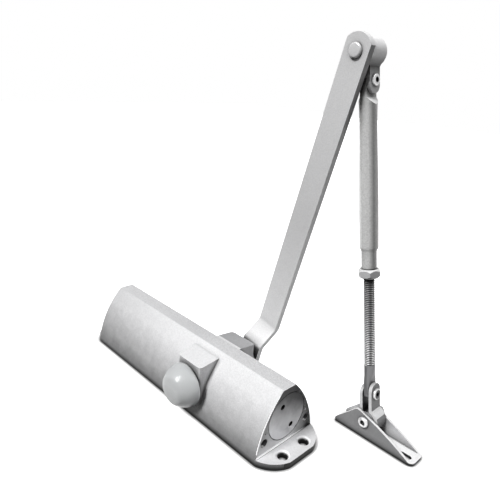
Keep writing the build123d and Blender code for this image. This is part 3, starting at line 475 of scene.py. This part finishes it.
# mesh tools
merge = {"solid": 2e-6, "loft": 4e-6, "turned": 1e-7}        # metres within which points become one
unlimited = 99.0        # mm, wider than any piece
rounding = {"segments": 2, "softenedAngle": 30.0, "madeAngle": 28.0, "flatAngle": 0.35}    # angles in degrees


def newObject(name, mesh):
    made = bpy.data.objects.new(name, mesh)
    scene.collection.objects.link(made)
    return made


def finished(piece, cadNode, replacing=True, finish=None):
    # the piece moves with a solid's body, has its slot and, where replacing, stands for it
    slot = slotOf[cadNode]
    if not piece.data.materials:
        piece.data.materials.append(finish or finishes[slot])
    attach(piece, bodyOf[cadNode])
    if replacing:
        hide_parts(cadNode)


def pickFaces(name, index, chosen):
    for polygon in bpy.data.objects[name].data.polygons:
        if chosen(polygon.normal, polygon.center):
            polygon.material_index = index


def finishFaces(name, finish, chosen):
    materials = bpy.data.objects[name].data.materials
    materials.append(finish)
    pickFaces(name, len(materials) - 1, chosen)


def smoothMesh(mesh, angle):
    for polygon in mesh.polygons:
        polygon.use_smooth = True
    mesh.set_sharp_from_angle(angle=radians(angle))


def evaluatedMesh(piece):
    # the finished mesh takes the place of the one with live modifiers
    graph = bpy.context.evaluated_depsgraph_get()
    mesh = bpy.data.meshes.new_from_object(piece.evaluated_get(graph))
    piece.modifiers.clear()
    piece.data = mesh


def roundOver(piece, width, angle=rounding["madeAngle"], wornIndex=-1):
    # rounds the edges sharper than the angle, and gives them the material of this index
    smoothMesh(piece.data, angle)
    bevel = piece.modifiers.new("Rounded edges", "BEVEL")
    bevel.width = width * millimetre
    bevel.segments = rounding["segments"]
    bevel.limit_method = "ANGLE"
    bevel.angle_limit = radians(angle)
    bevel.miter_outer = "MITER_ARC"
    bevel.harden_normals = True
    bevel.material = wornIndex
    evaluatedMesh(piece)


def softened(cadNode, pieceName, width, worn):
    # a copy of a solid with its edges rounded over, which then stands for that solid
    mesh = frame["nodes"][cadNode].data.copy()
    if "custom_normal" in mesh.attributes:
        mesh.attributes.remove(mesh.attributes["custom_normal"])
    mesh.materials.clear()
    tool = bmesh.new()
    tool.from_mesh(mesh)
    bmesh.ops.remove_doubles(tool, verts=tool.verts, dist=merge["solid"])
    flat = radians(rounding["flatAngle"])
    bmesh.ops.dissolve_limit(tool, angle_limit=flat, verts=tool.verts, edges=tool.edges)
    tool.to_mesh(mesh)
    tool.free()
    if worn:
        mesh.materials.append(finishes[slotOf[cadNode]])
        mesh.materials.append(wornAndLitEdges[slotOf[cadNode]])
    piece = newObject(pieceName, mesh)
    roundOver(piece, width, rounding["softenedAngle"], 1 if worn else -1)
    finished(piece, cadNode)


def closedMesh(tool, name):
    bmesh.ops.recalc_face_normals(tool, faces=tool.faces)
    mesh = bpy.data.meshes.new(name)
    tool.to_mesh(mesh)
    tool.free()
    return mesh


def loft(name, rings):
    # a skin over rings of points, capped at both ends
    tool = bmesh.new()
    loops = [[tool.verts.new(point) for point in ring] for ring in rings]
    for low, high in zip(loops, loops[1:]):
        for k in range(len(low)):
            n = (k + 1) % len(low)
            tool.faces.new((low[k], low[n], high[n], high[k]))
    tool.faces.new(loops[0])
    tool.faces.new(loops[-1])
    bmesh.ops.remove_doubles(tool, verts=tool.verts, dist=merge["loft"])
    bmesh.ops.dissolve_degenerate(tool, edges=tool.edges, dist=merge["loft"])
    return newObject(name, closedMesh(tool, name))


def ringRadius(radius, angle, sides=0):
    # round when sides is 0, else the wall of a many-sided socket that lies this far from the axis
    if not sides:
        return radius
    half = pi / sides
    return radius / cos((angle + half) % (2 * half) - half)


def lathe(name, profile, steps, origin, axis, sharpAngle=35.0):
    # turns points of radius and height in millimetres, some with a number of sides, about an axis
    tool = bmesh.new()
    rings = []
    for radius, height, *sides in profile:
        ring = []
        for k in range(steps if radius else 1):
            angle = 2 * pi * k / steps
            reach = ringRadius(radius, angle, *sides) * millimetre
            ring.append(tool.verts.new((reach * cos(angle), reach * sin(angle), height * millimetre)))
        rings.append(ring)
    for low, high in zip(rings, rings[1:]):
        for k in range(steps):
            n = (k + 1) % steps
            if len(low) == 1:
                tool.faces.new((low[0], high[n], high[k]))
            elif len(high) == 1:
                tool.faces.new((low[k], low[n], high[0]))
            else:
                tool.faces.new((low[k], low[n], high[n], high[k]))
    bmesh.ops.remove_doubles(tool, verts=tool.verts, dist=merge["turned"])
    mesh = closedMesh(tool, name)
    turn = Vector(axis).to_track_quat("Z", "Y").to_matrix().to_4x4()
    mesh.transform(Matrix.Translation(origin) @ turn)
    smoothMesh(mesh, sharpAngle)
    return newObject(name, mesh)


def roundedCorner(radius, height, size, outward, steps=4):
    # a quarter-round rim: from the side wall up on to the face when outward is 1
    points = []
    for k in range(steps + 1):
        angle = pi / 2 * k / steps
        points.append((radius - size + size * cos(angle), height - outward * (size - size * sin(angle))))
    return points


def cutWith(piece, tool, operation):
    # takes the tool's shape out of the piece, or keeps only what both share
    change = piece.modifiers.new(operation.title(), "BOOLEAN")
    change.operation = operation
    change.solver = "EXACT"
    change.object = tool
    evaluatedMesh(piece)
    bpy.data.objects.remove(tool)


pinHole = {"radius": 2.55, "reach": 9, "steps": 32}


def drillPinHole(piece, place, h):
    outline = [(0, -h["reach"]), (h["radius"], -h["reach"]), (h["radius"], h["reach"]), (0, h["reach"])]
    cutWith(piece, lathe("PinHole", outline, h["steps"], place, acrossForearm), "DIFFERENCE")


def onForearm(below, across, sideways):
    # millimetres down the forearm from the elbow's axis, along its cross pins, and along the elbow's axis
    along = downForearm * below * millimetre + acrossForearm * across * millimetre
    return elbowAxis + along + Vector((0, sideways * millimetre, 0))


def clamped(value, limit):
    return max(-limit, min(limit, value))


# threaded rod
rod = {
    "threadStart": 97.2,      # mm below the elbow axis, inside the tube
    "plainEnd": 22.0,         # mm of plain blade above the lower pin
    "radius": 4.0,
    "pitch": 1.36,
    "depth": 0.74,
    "pointsPerTurn": 28,
    "corePoints": 40,
    "overlap": 0.04,          # mm of core inside the ridge
    "sharpAngle": 50.0,
}
blade = {
    "rows": [
        # mm above the lower pin, half thickness, half width, squareness (1 is round)
        (22.4, 3.6, 3.6, 1.0), (21.8, 3.95, 3.95, 1.0), (20.0, 3.95, 4.0, 0.98), (17.5, 3.75, 4.15, 0.92),
        (15.0, 3.3, 4.5, 0.80), (13.0, 2.85, 4.85, 0.66), (11.5, 2.55, 5.1, 0.52), (10.0, 2.45, 5.22, 0.42),
        (0.0, 2.45, 5.25, 0.36),
    ],
    "points": 48,
    "eyeRows": 8,
    "eyeTip": 0.02,           # half width of the last row round the eye
    "sharpAngle": 38.0,
}


def makeThreadTree():
    tree = bpy.data.node_groups.new("Screw thread", "GeometryNodeTree")
    kinds = {
        "Length": "Float", "Radius": "Float", "Pitch": "Float", "Depth": "Float", "Overlap": "Float",
        "Points per turn": "Int", "Core points": "Int", "Finish": "Material",
    }
    sockets = {}
    for label, kind in kinds.items():
        socket = tree.interface.new_socket(label, in_out="INPUT", socket_type="NodeSocket" + kind)
        sockets[label] = socket.identifier
    tree.interface.new_socket("Geometry", in_out="OUTPUT", socket_type="NodeSocketGeometry")
    given, result = tree.nodes.new("NodeGroupInput").outputs, tree.nodes.new("NodeGroupOutput").inputs
    length = given["Length"]
    ridgeRadius = arithmetic(tree, "SUBTRACT", given["Radius"], given["Depth"])
    turns = arithmetic(tree, "DIVIDE", length, given["Pitch"])
    spiral = newNode(tree, "GeometryNodeCurveSpiral", {
        "Resolution": given["Points per turn"], "Rotations": turns, "Start Radius": ridgeRadius,
        "End Radius": ridgeRadius, "Height": length,
    })
    steady = newNode(tree, "GeometryNodeSetCurveNormal", {"Curve": spiral.outputs[0]}, mode="Z_UP")
    diamond = newNode(tree, "GeometryNodeCurvePrimitiveCircle", {"Resolution": 4, "Radius": given["Depth"]})
    ridge = newNode(tree, "GeometryNodeCurveToMesh", {
        "Curve": steady.outputs[0], "Profile Curve": diamond.outputs[0], "Fill Caps": True,
    })
    core = newNode(tree, "GeometryNodeMeshCylinder", {
        "Vertices": given["Core points"], "Radius": arithmetic(tree, "ADD", ridgeRadius, given["Overlap"]),
        "Depth": length,
    })
    lift = newNode(tree, "ShaderNodeCombineXYZ", {"Z": arithmetic(tree, "MULTIPLY", length, 0.5)})
    lifted = newNode(tree, "GeometryNodeTransform", {
        "Geometry": core.outputs["Mesh"], "Translation": lift.outputs[0],
    })
    both = newNode(tree, "GeometryNodeJoinGeometry", {0: ridge.outputs[0]})
    feed(tree, lifted.outputs[0], both.inputs[0])
    real = newNode(tree, "GeometryNodeRealizeInstances", {0: both.outputs[0]})
    painted = newNode(tree, "GeometryNodeSetMaterial", {
        "Geometry": real.outputs[0], "Material": given["Finish"],
    })
    feed(tree, painted.outputs[0], result[0])
    return tree, sockets


def makeThreadedRod(r):
    top = elbowAxis + downForearm * (r["threadStart"] * millimetre)
    end = lowerPin - downForearm * r["plainEnd"] * millimetre
    tree, sockets = makeThreadTree()
    values = {
        "Length": (end - top).length, "Radius": r["radius"] * millimetre, "Pitch": r["pitch"] * millimetre,
        "Depth": r["depth"] * millimetre, "Overlap": r["overlap"] * millimetre,
        "Points per turn": r["pointsPerTurn"], "Core points": r["corePoints"], "Finish": threadSteel,
    }
    thread = newObject("RodThread", bpy.data.meshes.new("RodThread"))
    modifier = thread.modifiers.new(tree.name, "NODES")
    modifier.node_group = tree
    for label, value in values.items():
        modifier[sockets[label]] = value
    evaluatedMesh(thread)
    turn = (-downForearm).to_track_quat("Z", "Y").to_matrix().to_4x4()
    thread.data.transform(Matrix.Translation(end) @ turn)
    smoothMesh(thread.data, r["sharpAngle"])
    finished(thread, "adjusting_rod")


def makeRodBlade(b):
    # the plain lower end, pressed from round to flat, with its eye round the lower pin
    pin = (lowerPin - elbowAxis).length / millimetre
    rows = [(pin - above, thick, wide, power, unlimited) for above, thick, wide, power in b["rows"]]
    thick, wide, power = rows[-1][1:4]
    for k in range(1, b["eyeRows"] + 1):
        angle = pi / 2 * k / b["eyeRows"]
        rows.append((pin + wide * sin(angle), thick, wide, power, max(wide * cos(angle), b["eyeTip"])))
    rings = []
    for below, thick, wide, power, limit in rows:
        ring = []
        for k in range(b["points"]):
            angle = 2 * pi * k / b["points"]
            across = thick * copysign(abs(cos(angle)) ** power, cos(angle))
            sideways = wide * copysign(abs(sin(angle)) ** power, sin(angle))
            ring.append(onForearm(below, across, clamped(sideways, limit)))
        rings.append(ring)
    made = loft("RodBlade", rings)
    drillPinHole(made, lowerPin, pinHole)
    smoothMesh(made.data, b["sharpAngle"])
    finished(made, "adjusting_rod", replacing=False, finish=bladeSteel)


makeThreadedRod(rod)
makeRodBlade(blade)
print("rod threaded")


# forearm tube with its pressed flat
tube = {
    "tongueHalf": 2.45,        # half the thickness of the pressed flat
    "tongueWidth": 5.69,       # half its width
    "tongueRadius": 6.2,
    "tongueRows": 8,
    "rings": [
        # mm below the elbow axis, radius, half thickness of the flat
        (24.0, 6.20, 2.45), (26.5, 6.50, 2.45), (27.8, 6.50, 2.5), (28.4, 6.45, 3.0), (29.4, 6.35, 3.9),
        (30.6, 6.20, 4.9), (31.8, 6.05, 5.7), (32.6, 5.98, 5.98), (38.0, 5.85, 5.85), (44.0, 5.85, 5.85),
        (60.0, 6.02, 6.02), (80.0, 6.34, 6.34), (95.0, 6.55, 6.55), (126.4, 6.55, 6.55), (127.6, 6.36, 6.36),
        (128.8, 5.7, 5.7), (129.8, 5.3, 5.3), (141.7, 5.3, 5.3), (142.0, 5.0, 5.0), (142.0, 4.08, 4.08),
        (126.0, 4.08, 4.08), (125.6, 4.4, 4.4), (42.6, 4.4, 4.4),
    ],
    "arcSteps": 22,
    "flatSteps": 6,
    "roundest": 0.9999,        # the flat's share of the radius where the tube is round
    "edge": 0.45,
    "highlightEnd": 34.0,         # mm below the elbow axis, where the painted highlight on the crease ends
    "highlightSlope": 0.22,
}


def tubeRing(radius, half, t):
    # a circle with two sides pressed flat, with as many points on the flats of every ring
    half = min(half, radius * t["roundest"])
    corner = (radius ** 2 - half ** 2) ** 0.5
    first = atan2(corner, half)
    points = []
    for side in (0, 1):
        for k in range(t["arcSteps"] + 1):
            angle = side * pi + first + (pi - 2 * first) * k / t["arcSteps"]
            points.append((radius * cos(angle), radius * sin(angle)))
        for k in range(1, t["flatSteps"]):
            across = (2 * side - 1) * half
            points.append((across, (1 - 2 * side) * corner * (1 - 2 * k / t["flatSteps"])))
    return points


def makeForearmTube(t):
    pin = (upperPin - elbowAxis).length / millimetre
    width = t["tongueWidth"]
    rows = []
    for k in range(1, t["tongueRows"] + 1):
        angle = pi / 2 * k / t["tongueRows"]
        rows.append((pin - width * cos(angle), t["tongueRadius"], t["tongueHalf"], width * sin(angle)))
    rows += [(*ring, unlimited) for ring in t["rings"]]
    rings = []
    for below, radius, flat, limit in rows:
        ring = tubeRing(radius, flat, t)
        rings.append([onForearm(below, across, clamped(sideways, limit)) for across, sideways in ring])
    made = loft("ForearmTube", rings)
    drillPinHole(made, upperPin, pinHole)
    roundOver(made, t["edge"])
    finished(made, "forearm_tube")


makeForearmTube(tube)


# lock nut
lockNut = {
    "flats": 14.2,
    "height": 6.5,
    "centre": 145.35,         # mm below the elbow axis
    "turn": 8.0,
    "bore": 4.08,
    "faceRadius": 6.3,        # inside it, the two faces are flat
    "edge": 0.28,
    "edgeAngle": 22.0,
    "wornAndLitSlopes": (0.4, 0.95),    # how far the chamfers with bright worn paint and a painted highlight may lean along the rod (1 is a face)
    "steps": 72,
    "spare": 0.5,             # mm by which the turned shape passes the corners
    "lift": 0.01,             # mm by which it clears the faces
}


def makeLockNut(n):
    corner = n["flats"] / 2 / cos(pi / 6)
    half = n["height"] / 2
    angles = [radians(n["turn"]) + k * pi / 3 for k in range(6)]
    ends = []
    for below in (n["centre"] - half, n["centre"] + half):
        ends.append([onForearm(below, corner * cos(angle), corner * sin(angle)) for angle in angles])
    nut = loft("LockNut", ends)
    nut.data.materials.append(finishes["tube_paint"])
    nut.data.materials.append(wornAndLitEdges["tube_paint"])
    face, bore = n["faceRadius"], n["bore"]
    wide, tall = corner + n["spare"], half + n["lift"]
    cone = half - wide + face
    outline = [(bore, -tall), (face, -tall), (wide, -cone), (wide, cone), (face, tall), (bore, tall)]
    place = elbowAxis + downForearm * n["centre"] * millimetre
    cutWith(nut, lathe("NutOutline", outline + outline[:1], n["steps"], place, downForearm), "INTERSECT")
    roundOver(nut, n["edge"], n["edgeAngle"], 1)
    least, most = n["wornAndLitSlopes"]
    pickFaces("LockNut", 1, lambda normal, c: least < abs(normal.dot(downForearm)) < most)
    finished(nut, "lock_nut")


makeLockNut(lockNut)
print("tube and lock nut made")


# cross pins
crossPin = {
    "earFace": 5.12,
    "headHeight": 1.75,
    "shaft": 2.5,
    "dimple": 1.35,
    "dimpleDepth": 3.4,
    # mm out from the dimple's radius, or in from the head's, and down from the top
    "hollow": [(-0.27, 3.2), (0.0, 2.6), (0.1, 0.3), (0.5, 0.0)],
    "crown": [(0.9, 0.05), (0.25, 0.4), (0.0, 0.95)],
    # radius, and mm beyond the far ear
    "tail": [(3.25, 0.0), (3.25, 0.5), (2.75, 0.9), (1.35, 0.95), (0.0, 0.6)],
    "steps": 40,
    "pins": [
        # name, place, solid, head radius, radius of its middle with painted shade
        ("UpperCrossPin", upperPin, "elbow_cross_pin", 3.9, 1.9),
        ("LowerCrossPin", lowerPin, "foot_cross_pin", 4.25, 3.4),
    ],
}


def dimpledHead(c, radius, top):
    # from the middle of the dimple out to the rim
    points = [(0, top - c["dimpleDepth"])]
    points += [(c["dimple"] + out, top - down) for out, down in c["hollow"]]
    return points + [(radius - inset, top - down) for inset, down in c["crown"]]


def makeCrossPin(p, name, place, cadNode, headRadius, shadedRadius):
    face, shaft = p["earFace"], p["shaft"]
    profile = dimpledHead(p, headRadius, face + p["headHeight"])
    profile += [(headRadius, face), (shaft, face), (shaft, -face)]
    profile += [(radius, -face - beyond) for radius, beyond in p["tail"]]
    finished(lathe(name, profile, p["steps"], place, acrossForearm), cadNode, finish=brightZincAndHighlight)

    def onShadedFace(n, c):
        out = (c - place).dot(acrossForearm)
        off = (c - place - out * acrossForearm).length / millimetre
        return off < shadedRadius and out > face * millimetre

    # painted shade on the middle of the head
    finishFaces(name, rivetFaceShade, onShadedFace)


for pin in crossPin["pins"]:
    makeCrossPin(crossPin, *pin)


# shoe rivet
shoeRivet = {
    "headRadius": 4.15,
    "headHeight": 2.5,
    "shaft": 2.98,
    "dimple": 1.7,
    "dimpleDepth": 3.2,
    "hollow": [(-0.255, 3.1), (0.0, 2.6), (0.2, 0.4), (0.6, 0.0)],
    "crown": [(1.2, 0.1), (0.4, 0.6), (0.0, 1.4)],
    "clearance": 0.02,        # mm under the head
    "tipBevel": 0.6,
    "steps": 48,
}


def makeShoeRivet(r):
    wall = (shoePivot.y - boxOf("shoe")[0].y) / millimetre
    tail = (shoePivot.y - boxOf("shoe_screw")[1].y) / millimetre
    seat = wall + r["clearance"]
    profile = dimpledHead(r, r["headRadius"], wall + r["headHeight"])
    profile += [(r["headRadius"], seat), (r["shaft"], seat), (r["shaft"], tail + r["tipBevel"])]
    profile += [(r["shaft"] - r["tipBevel"], tail), (0, tail)]
    made = lathe("ShoePivotRivet", profile, r["steps"], shoePivot, (0, -1, 0))
    finished(made, "shoe_screw", finish=brightZincAndHighlight)


makeShoeRivet(shoeRivet)


# elbow rivet
elbowRivet = {"radius": 4.85, "height": 2.15, "rim": 1.45, "shaft": 3.98, "steps": 56}


def makeElbowRivet(r):
    low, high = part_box("elbow_rivet")
    near = (elbowAxis.y - low.y) / millimetre
    far = (elbowAxis.y - high.y) / millimetre
    profile = [(0, near)] + roundedCorner(r["radius"], near, r["rim"], 1)[::-1]
    profile += [(r["radius"], near - r["height"]), (r["shaft"], near - r["height"])]
    profile += [(r["shaft"], far + r["height"]), (r["radius"], far + r["height"])]
    profile += roundedCorner(r["radius"], far, r["rim"], -1) + [(0, far)]
    finished(lathe("ElbowRivet", profile, r["steps"], elbowAxis, (0, -1, 0)), "elbow_rivet")


makeElbowRivet(elbowRivet)


# arm screw
armScrew = {
    "headRadius": 5.45,
    "headHeight": 4.45,
    "rim": 0.7,
    "shaft": 2.98,
    "tipBevel": 0.6,
    "socket": 2.5,            # from the axis to each of its walls
    "socketSides": 6,
    "socketDepth": 2.8,
    "socketTip": 0.6,
    "socketEdge": (0.75, 0.2),
    "steps": 48,
    "sharpAngle": 25.0,
}


def makeArmScrew(s):
    low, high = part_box("arm_screw")
    top = (high.y - spindleAxis.y) / millimetre
    tip = (low.y - spindleAxis.y) / millimetre
    seat, bottom = top - s["headHeight"], top - s["socketDepth"]
    out, down = s["socketEdge"]
    profile = [(0, bottom - s["socketTip"]), (s["socket"], bottom, s["socketSides"])]
    profile += [(s["socket"], top - down, s["socketSides"]), (s["socket"] + out, top)]
    profile += roundedCorner(s["headRadius"], top, s["rim"], 1)[::-1]
    profile += [(s["headRadius"], seat), (s["shaft"], seat), (s["shaft"], tip + s["tipBevel"])]
    profile += [(s["shaft"] - s["tipBevel"], tip), (0, tip)]
    finished(lathe("ArmScrew", profile, s["steps"], spindleAxis, (0, 1, 0), s["sharpAngle"]), "arm_screw")


makeArmScrew(armScrew)
print("rivets and screws made")


# spindle cap
cap = {
    "setback": 15.0,          # mm from the closed end to the rim's plane
    "rimRadius": 17.15,
    "outside": [
        # radius, mm from the rim's plane, from the closed end to the rim
        (0, 14.9), (5.0, 14.87), (8.6, 14.75), (10.2, 14.4), (11.3, 13.8), (12.2, 12.9), (13.3, 11.4),
        (14.5, 9.6), (15.6, 7.6), (16.5, 5.4), (17.0, 3.4), (17.18, 1.6), (17.15, 0.5),
    ],
    "wall": 1.6,
    "lip": (0.4, 0.2, 0.02),  # mm of rounding outside and inside, and above the rim's plane
    "lipHeight": 0.5,
    "step": (4.0, 4.2),       # where the wall meets the socket's
    "socketRadius": 11.5,
    "socketBack": -1.6,
    "socketEnd": [(11.5, 11.6), (9.6, 13.0), (0, 13.3)],
    "steps": 96,
    "sharpAngle": 50.0,
}


def makeCap(c):
    rimPlane = Vector((spindleAxis.x, boxOf("spindle_cap")[0].y + c["setback"] * millimetre, spindleAxis.z))
    outer, inner, above = c["lip"]
    wallRadius, socket, back = c["rimRadius"] - c["wall"], c["socketRadius"], c["socketBack"]
    profile = c["outside"] + [(c["rimRadius"] - outer, above), (wallRadius + inner, above)]
    profile += [(wallRadius, c["lipHeight"]), (wallRadius - c["wall"], c["step"][0])]
    profile += [(socket + c["wall"], c["step"][1]), (socket + c["wall"], back), (socket, back)]
    made = lathe("SpindleCap", profile + c["socketEnd"], c["steps"], rimPlane, (0, -1, 0), c["sharpAngle"])
    finished(made, "spindle_cap")


makeCap(cap)
print("cap made")


# pieces kept from the solids, with their edges softened
edgeWidths = {
    # solid, piece, mm, and whether the edge shows bright wear with a painted highlight
    "housing": ("Housing", 0.7, True),
    "main_arm": ("MainArm", 0.35, False),
    "elbow_strap": ("ElbowStrap", 0.5, True),
    "foot_strap": ("FootStrap", 0.5, True),
    "shoe": ("Shoe", 0.9, True),
    "elbow_washer": ("ElbowWasher", 0.3, False),
    "shoe_nut": ("ShoeNut", 0.25, False),
    "arm_washer": ("ArmWasher", 0.2, False),
    "valve_end_plug": ("ValveEndPlug", 0.3, False),
    "spring_end_plug": ("SpringEndPlug", 0.3, False),
    "near_gland": ("NearGland", 0.2, False),
    "far_gland": ("FarGland", 0.2, False),
}
for cadNode, (pieceName, width, worn) in edgeWidths.items():
    softened(cadNode, pieceName, width, worn)

# places on the housing, in metres
endPlane, boreHeight = boxOf("valve_end_plug")[1].x, boxOf("valve_end_plug")[2].z
punchMark = Vector(joints["sweep_valve_turn"]["pos_m"]) + Vector((0.0, 0.0, 0.0074))
housing = {
    "endFace": (-0.0035, 0.0025),       # from the end plane, over the machined face
    "endFaceFoot": 0.010,
    "spannerHoles": (-0.0070, -0.0005),
    "spannerReach": 0.0132,             # round the bore, over both holes
    "rimReach": 0.0009,
    "rimHeights": (0.008, 0.047),
    "punchReach": 0.0018,               # kept clear of the painted rim highlight
    "flangeTop": 0.005,
    "flangeSlack": 0.001,
    "flangeEndTop": 0.0048,
    "screw": (boxOf("housing")[1].x - 0.008, 0.011),    # on both sides of both axes
    "screwReach": 0.0060,
    "screwFlange": 0.012,
    "bossHalf": 0.0145,
    "bossFoot": 0.012,
    "bodySide": 0.015,
    "crestFoot": 0.050,
    "undersideFoot": 0.008,
}


def onEndFace(n, c):
    inner, outer = housing["endFace"]
    return abs(n.x) > 0.97 and inner < abs(c.x) - endPlane < outer and c.z > housing["endFaceFoot"]


def onFlangeEnd(n, c):
    beyond = c.x > housing["screw"][0] and c.z < housing["flangeEndTop"]
    return n.x > 0.88 and abs(n.z) < 0.5 and beyond


def onFlangeTop(n, c):
    return n.z > 0.99 and abs(c.z - housing["flangeTop"]) < housing["flangeSlack"]


def onBoss(c):
    beside = abs(c.x - spindleAxis.x) < housing["bossHalf"] and abs(c.y) > housing["bodySide"]
    return beside and c.z > housing["bossFoot"]


def onEndRim(n, c):
    lowest, highest = housing["rimHeights"]
    onEdge = 0.25 < n.x < 0.95 and n.y < -0.1 and abs(c.x - endPlane) < housing["rimReach"]
    return onEdge and lowest < c.z < highest and (c - punchMark).length > housing["punchReach"]


def inScrewHole(c):
    alongX, alongY = housing["screw"]
    off = Vector((abs(c.x) - alongX, abs(c.y) - alongY)).length
    return off < housing["screwReach"] and c.z < housing["flangeTop"] + housing["flangeSlack"]


def inSpannerHole(n, c):
    inner, outer = housing["spannerHoles"]
    off = Vector((c.y, c.z - boreHeight)).length
    return abs(n.x) < 0.3 and inner < abs(c.x) - endPlane < outer and off < housing["spannerReach"]


# painted highlight on the upward slope of the tube's crease
def onCrease(n, c):
    below = (c - elbowAxis).dot(downForearm) / millimetre
    return n.dot(downForearm) < -tube["highlightSlope"] and below < tube["highlightEnd"]


# painted highlight on the up-facing rims and floor of the shoe and on top of the screw flanges, in the bright
# worn-edge finish
pickFaces("Shoe", 1, lambda n, c: n.z > 0.3 and abs(n.y) < 0.6)
pickFaces("Housing", 1, lambda n, c: n.z > 0.3 and abs(n.y) < 0.6 and 0 < c.z < housing["screwFlange"])

# painted shade and painted highlight on single faces: the end face, boss, crest, undersides, holes, the flange,
# the arm's edge and tip, the straps, the lock nut, the tube's crease and the elbow rivet
patches = [
    # piece, finish, and which faces get it, by a face's normal n and its centre c
    ("Housing", endFace, onEndFace),
    ("Housing", bossSideShade, lambda n, c: n.y < -0.9 and onBoss(c)),
    ("Housing", rearBossShade, lambda n, c: n.z > 0.6 and c.y > 0 and onBoss(c)),
    ("Housing", crestShade, lambda n, c: n.z > 0.97 and c.z > housing["crestFoot"]),
    ("MainArm", armEdgeShade, lambda n, c: n.x > 0.6),
    # painted highlight on the arm's upward tip above the elbow
    ("MainArm", wornAndLitEdges["arm_paint"], lambda n, c: n.x > -0.1 and n.z > 0.3 and c.z > elbowAxis.z),
    ("ElbowStrap", elbowLightAndShade, lambda n, c: True),
    ("Housing", bossEndShade, lambda n, c: n.x > 0.6 and onBoss(c)),
    ("Housing", undersideShade, lambda n, c: n.z < -0.5 and c.z > housing["undersideFoot"]),
    ("Housing", rimHighlight, onEndRim),
    ("Housing", holeShade, lambda n, c: abs(n.z) < 0.3 and inScrewHole(c)),
    ("Housing", flangeEndShadow, onFlangeEnd),
    ("Housing", flangeTop, onFlangeTop),
    ("Housing", countersinkLightAndShade, lambda n, c: 0.3 < n.z < 0.995 and inScrewHole(c)),
    ("ValveEndPlug", holeShade, inSpannerHole),
    ("SpringEndPlug", holeShade, inSpannerHole),
    ("FootStrap", strapSideShade, lambda n, c: abs(n.x) > 0.85),
    ("LockNut", nutFrontShade, lambda n, c: n.y < -0.4 and abs(n.z) < 0.5),
    ("LockNut", nutSideShade, lambda n, c: n.x > 0.35 and abs(n.z) < 0.5),
    ("ForearmTube", wornAndLitEdges["arm_paint"], onCrease),
    # painted highlight on the elbow rivet's upward faces
    ("ElbowRivet", brightZincAndHighlight, lambda n, c: n.z > 0.25 and n.y > -0.95),
]
for pieceName, finish, chosen in patches:
    finishFaces(pieceName, finish, chosen)
print("edges softened")

for name, cad in frame["nodes"].items():
    cad.data.materials.clear()
    cad.data.materials.append(finishes[slotOf[name]])


# light and ground
studio = {
    "floorSize": 6.0,
    "floorDrop": 0.0003,       # metres below the object's feet
    "floorBounce": (0.035, 0.035, 0.035, 1),
    "floorGlow": 0.85,
    "floorRoughness": 0.9,
    "contactReach": 0.0035,    # metres round the feet in which a painted contact shadow darkens the floor
    "contactPower": 2.5,
    "skyStrength": 0.04,
    "lamps": [
        # name, the side it shines from, softness in degrees, strength
        ("Key light", (-0.10, -0.66, 0.74), 16.0, 2.78),
        ("Right fill", (0.90, -0.20, 0.30), 45.0, 0.26),
        ("Top right light", (0.56, 0.36, 0.74), 30.0, 0.85),
    ],
}


def whiteWhereSeen(tree, lit, white):
    # the lit shader for light that falls on the object, the white one for what is looked at
    paths = newNode(tree, "ShaderNodeLightPath").outputs
    seen = arithmetic(tree, "MAXIMUM", paths["Is Camera Ray"], paths["Is Glossy Ray"])
    seen = arithmetic(tree, "MAXIMUM", seen, paths["Is Transmission Ray"])
    return newNode(tree, "ShaderNodeMixShader", {0: seen, 1: lit, 2: white}).outputs[0]


def makeWorld(s):
    world = bpy.data.worlds.new("Studio")
    scene.world = world
    world.use_nodes = True
    tree = world.node_tree
    tree.nodes.clear()
    skies = []
    for strength in (s["skyStrength"], 1.0):
        sky = newNode(tree, "ShaderNodeBackground", {"Color": (1, 1, 1, 1), "Strength": strength})
        skies.append(sky.outputs[0])
    newNode(tree, "ShaderNodeOutputWorld", {0: whiteWhereSeen(tree, *skies)})


def makeFloor(s):
    half = s["floorSize"] / 2
    corners = [(-half, -half), (half, -half), (half, half), (-half, half)]
    mesh = bpy.data.meshes.new("Floor")
    mesh.from_pydata([(x, y, -s["floorDrop"]) for x, y in corners], [], [(0, 1, 2, 3)])
    floor = newObject("Floor", mesh)
    material, tree, shader = newMaterial("Pale floor")
    # a painted contact shadow: ambient occlusion darkens the floor's glow round the feet
    contact = newNode(tree, "ShaderNodeAmbientOcclusion", {"Distance": s["contactReach"]})
    openness = arithmetic(tree, "POWER", contact.outputs["AO"], s["contactPower"])
    feed(tree, s["floorRoughness"], shader.inputs["Roughness"])
    feed(tree, 0.0, shader.inputs["Specular IOR Level"])
    feed(tree, openness, shader.inputs["Base Color"])
    glow = newNode(tree, "ShaderNodeEmission", {"Color": openness, "Strength": s["floorGlow"]})
    white = newNode(tree, "ShaderNodeAddShader", {0: shader.outputs[0], 1: glow.outputs[0]})
    bounce = newNode(tree, "ShaderNodeBsdfDiffuse", {"Color": s["floorBounce"]})
    surface = tree.nodes["Material Output"].inputs[0]
    feed(tree, whiteWhereSeen(tree, bounce.outputs[0], white.outputs[0]), surface)
    mesh.materials.append(material)


def makeLamps(s):
    for name, place, softness, strength in s["lamps"]:
        data = bpy.data.lights.new(name, "SUN")
        data.angle = radians(softness)
        data.energy = strength
        lamp = bpy.data.objects.new(name, data)
        scene.collection.objects.link(lamp)
        lamp.matrix_world = (-Vector(place)).to_track_quat("-Z", "Y").to_matrix().to_4x4()


makeWorld(studio)
makeFloor(studio)
makeLamps(studio)
print("studio lit")
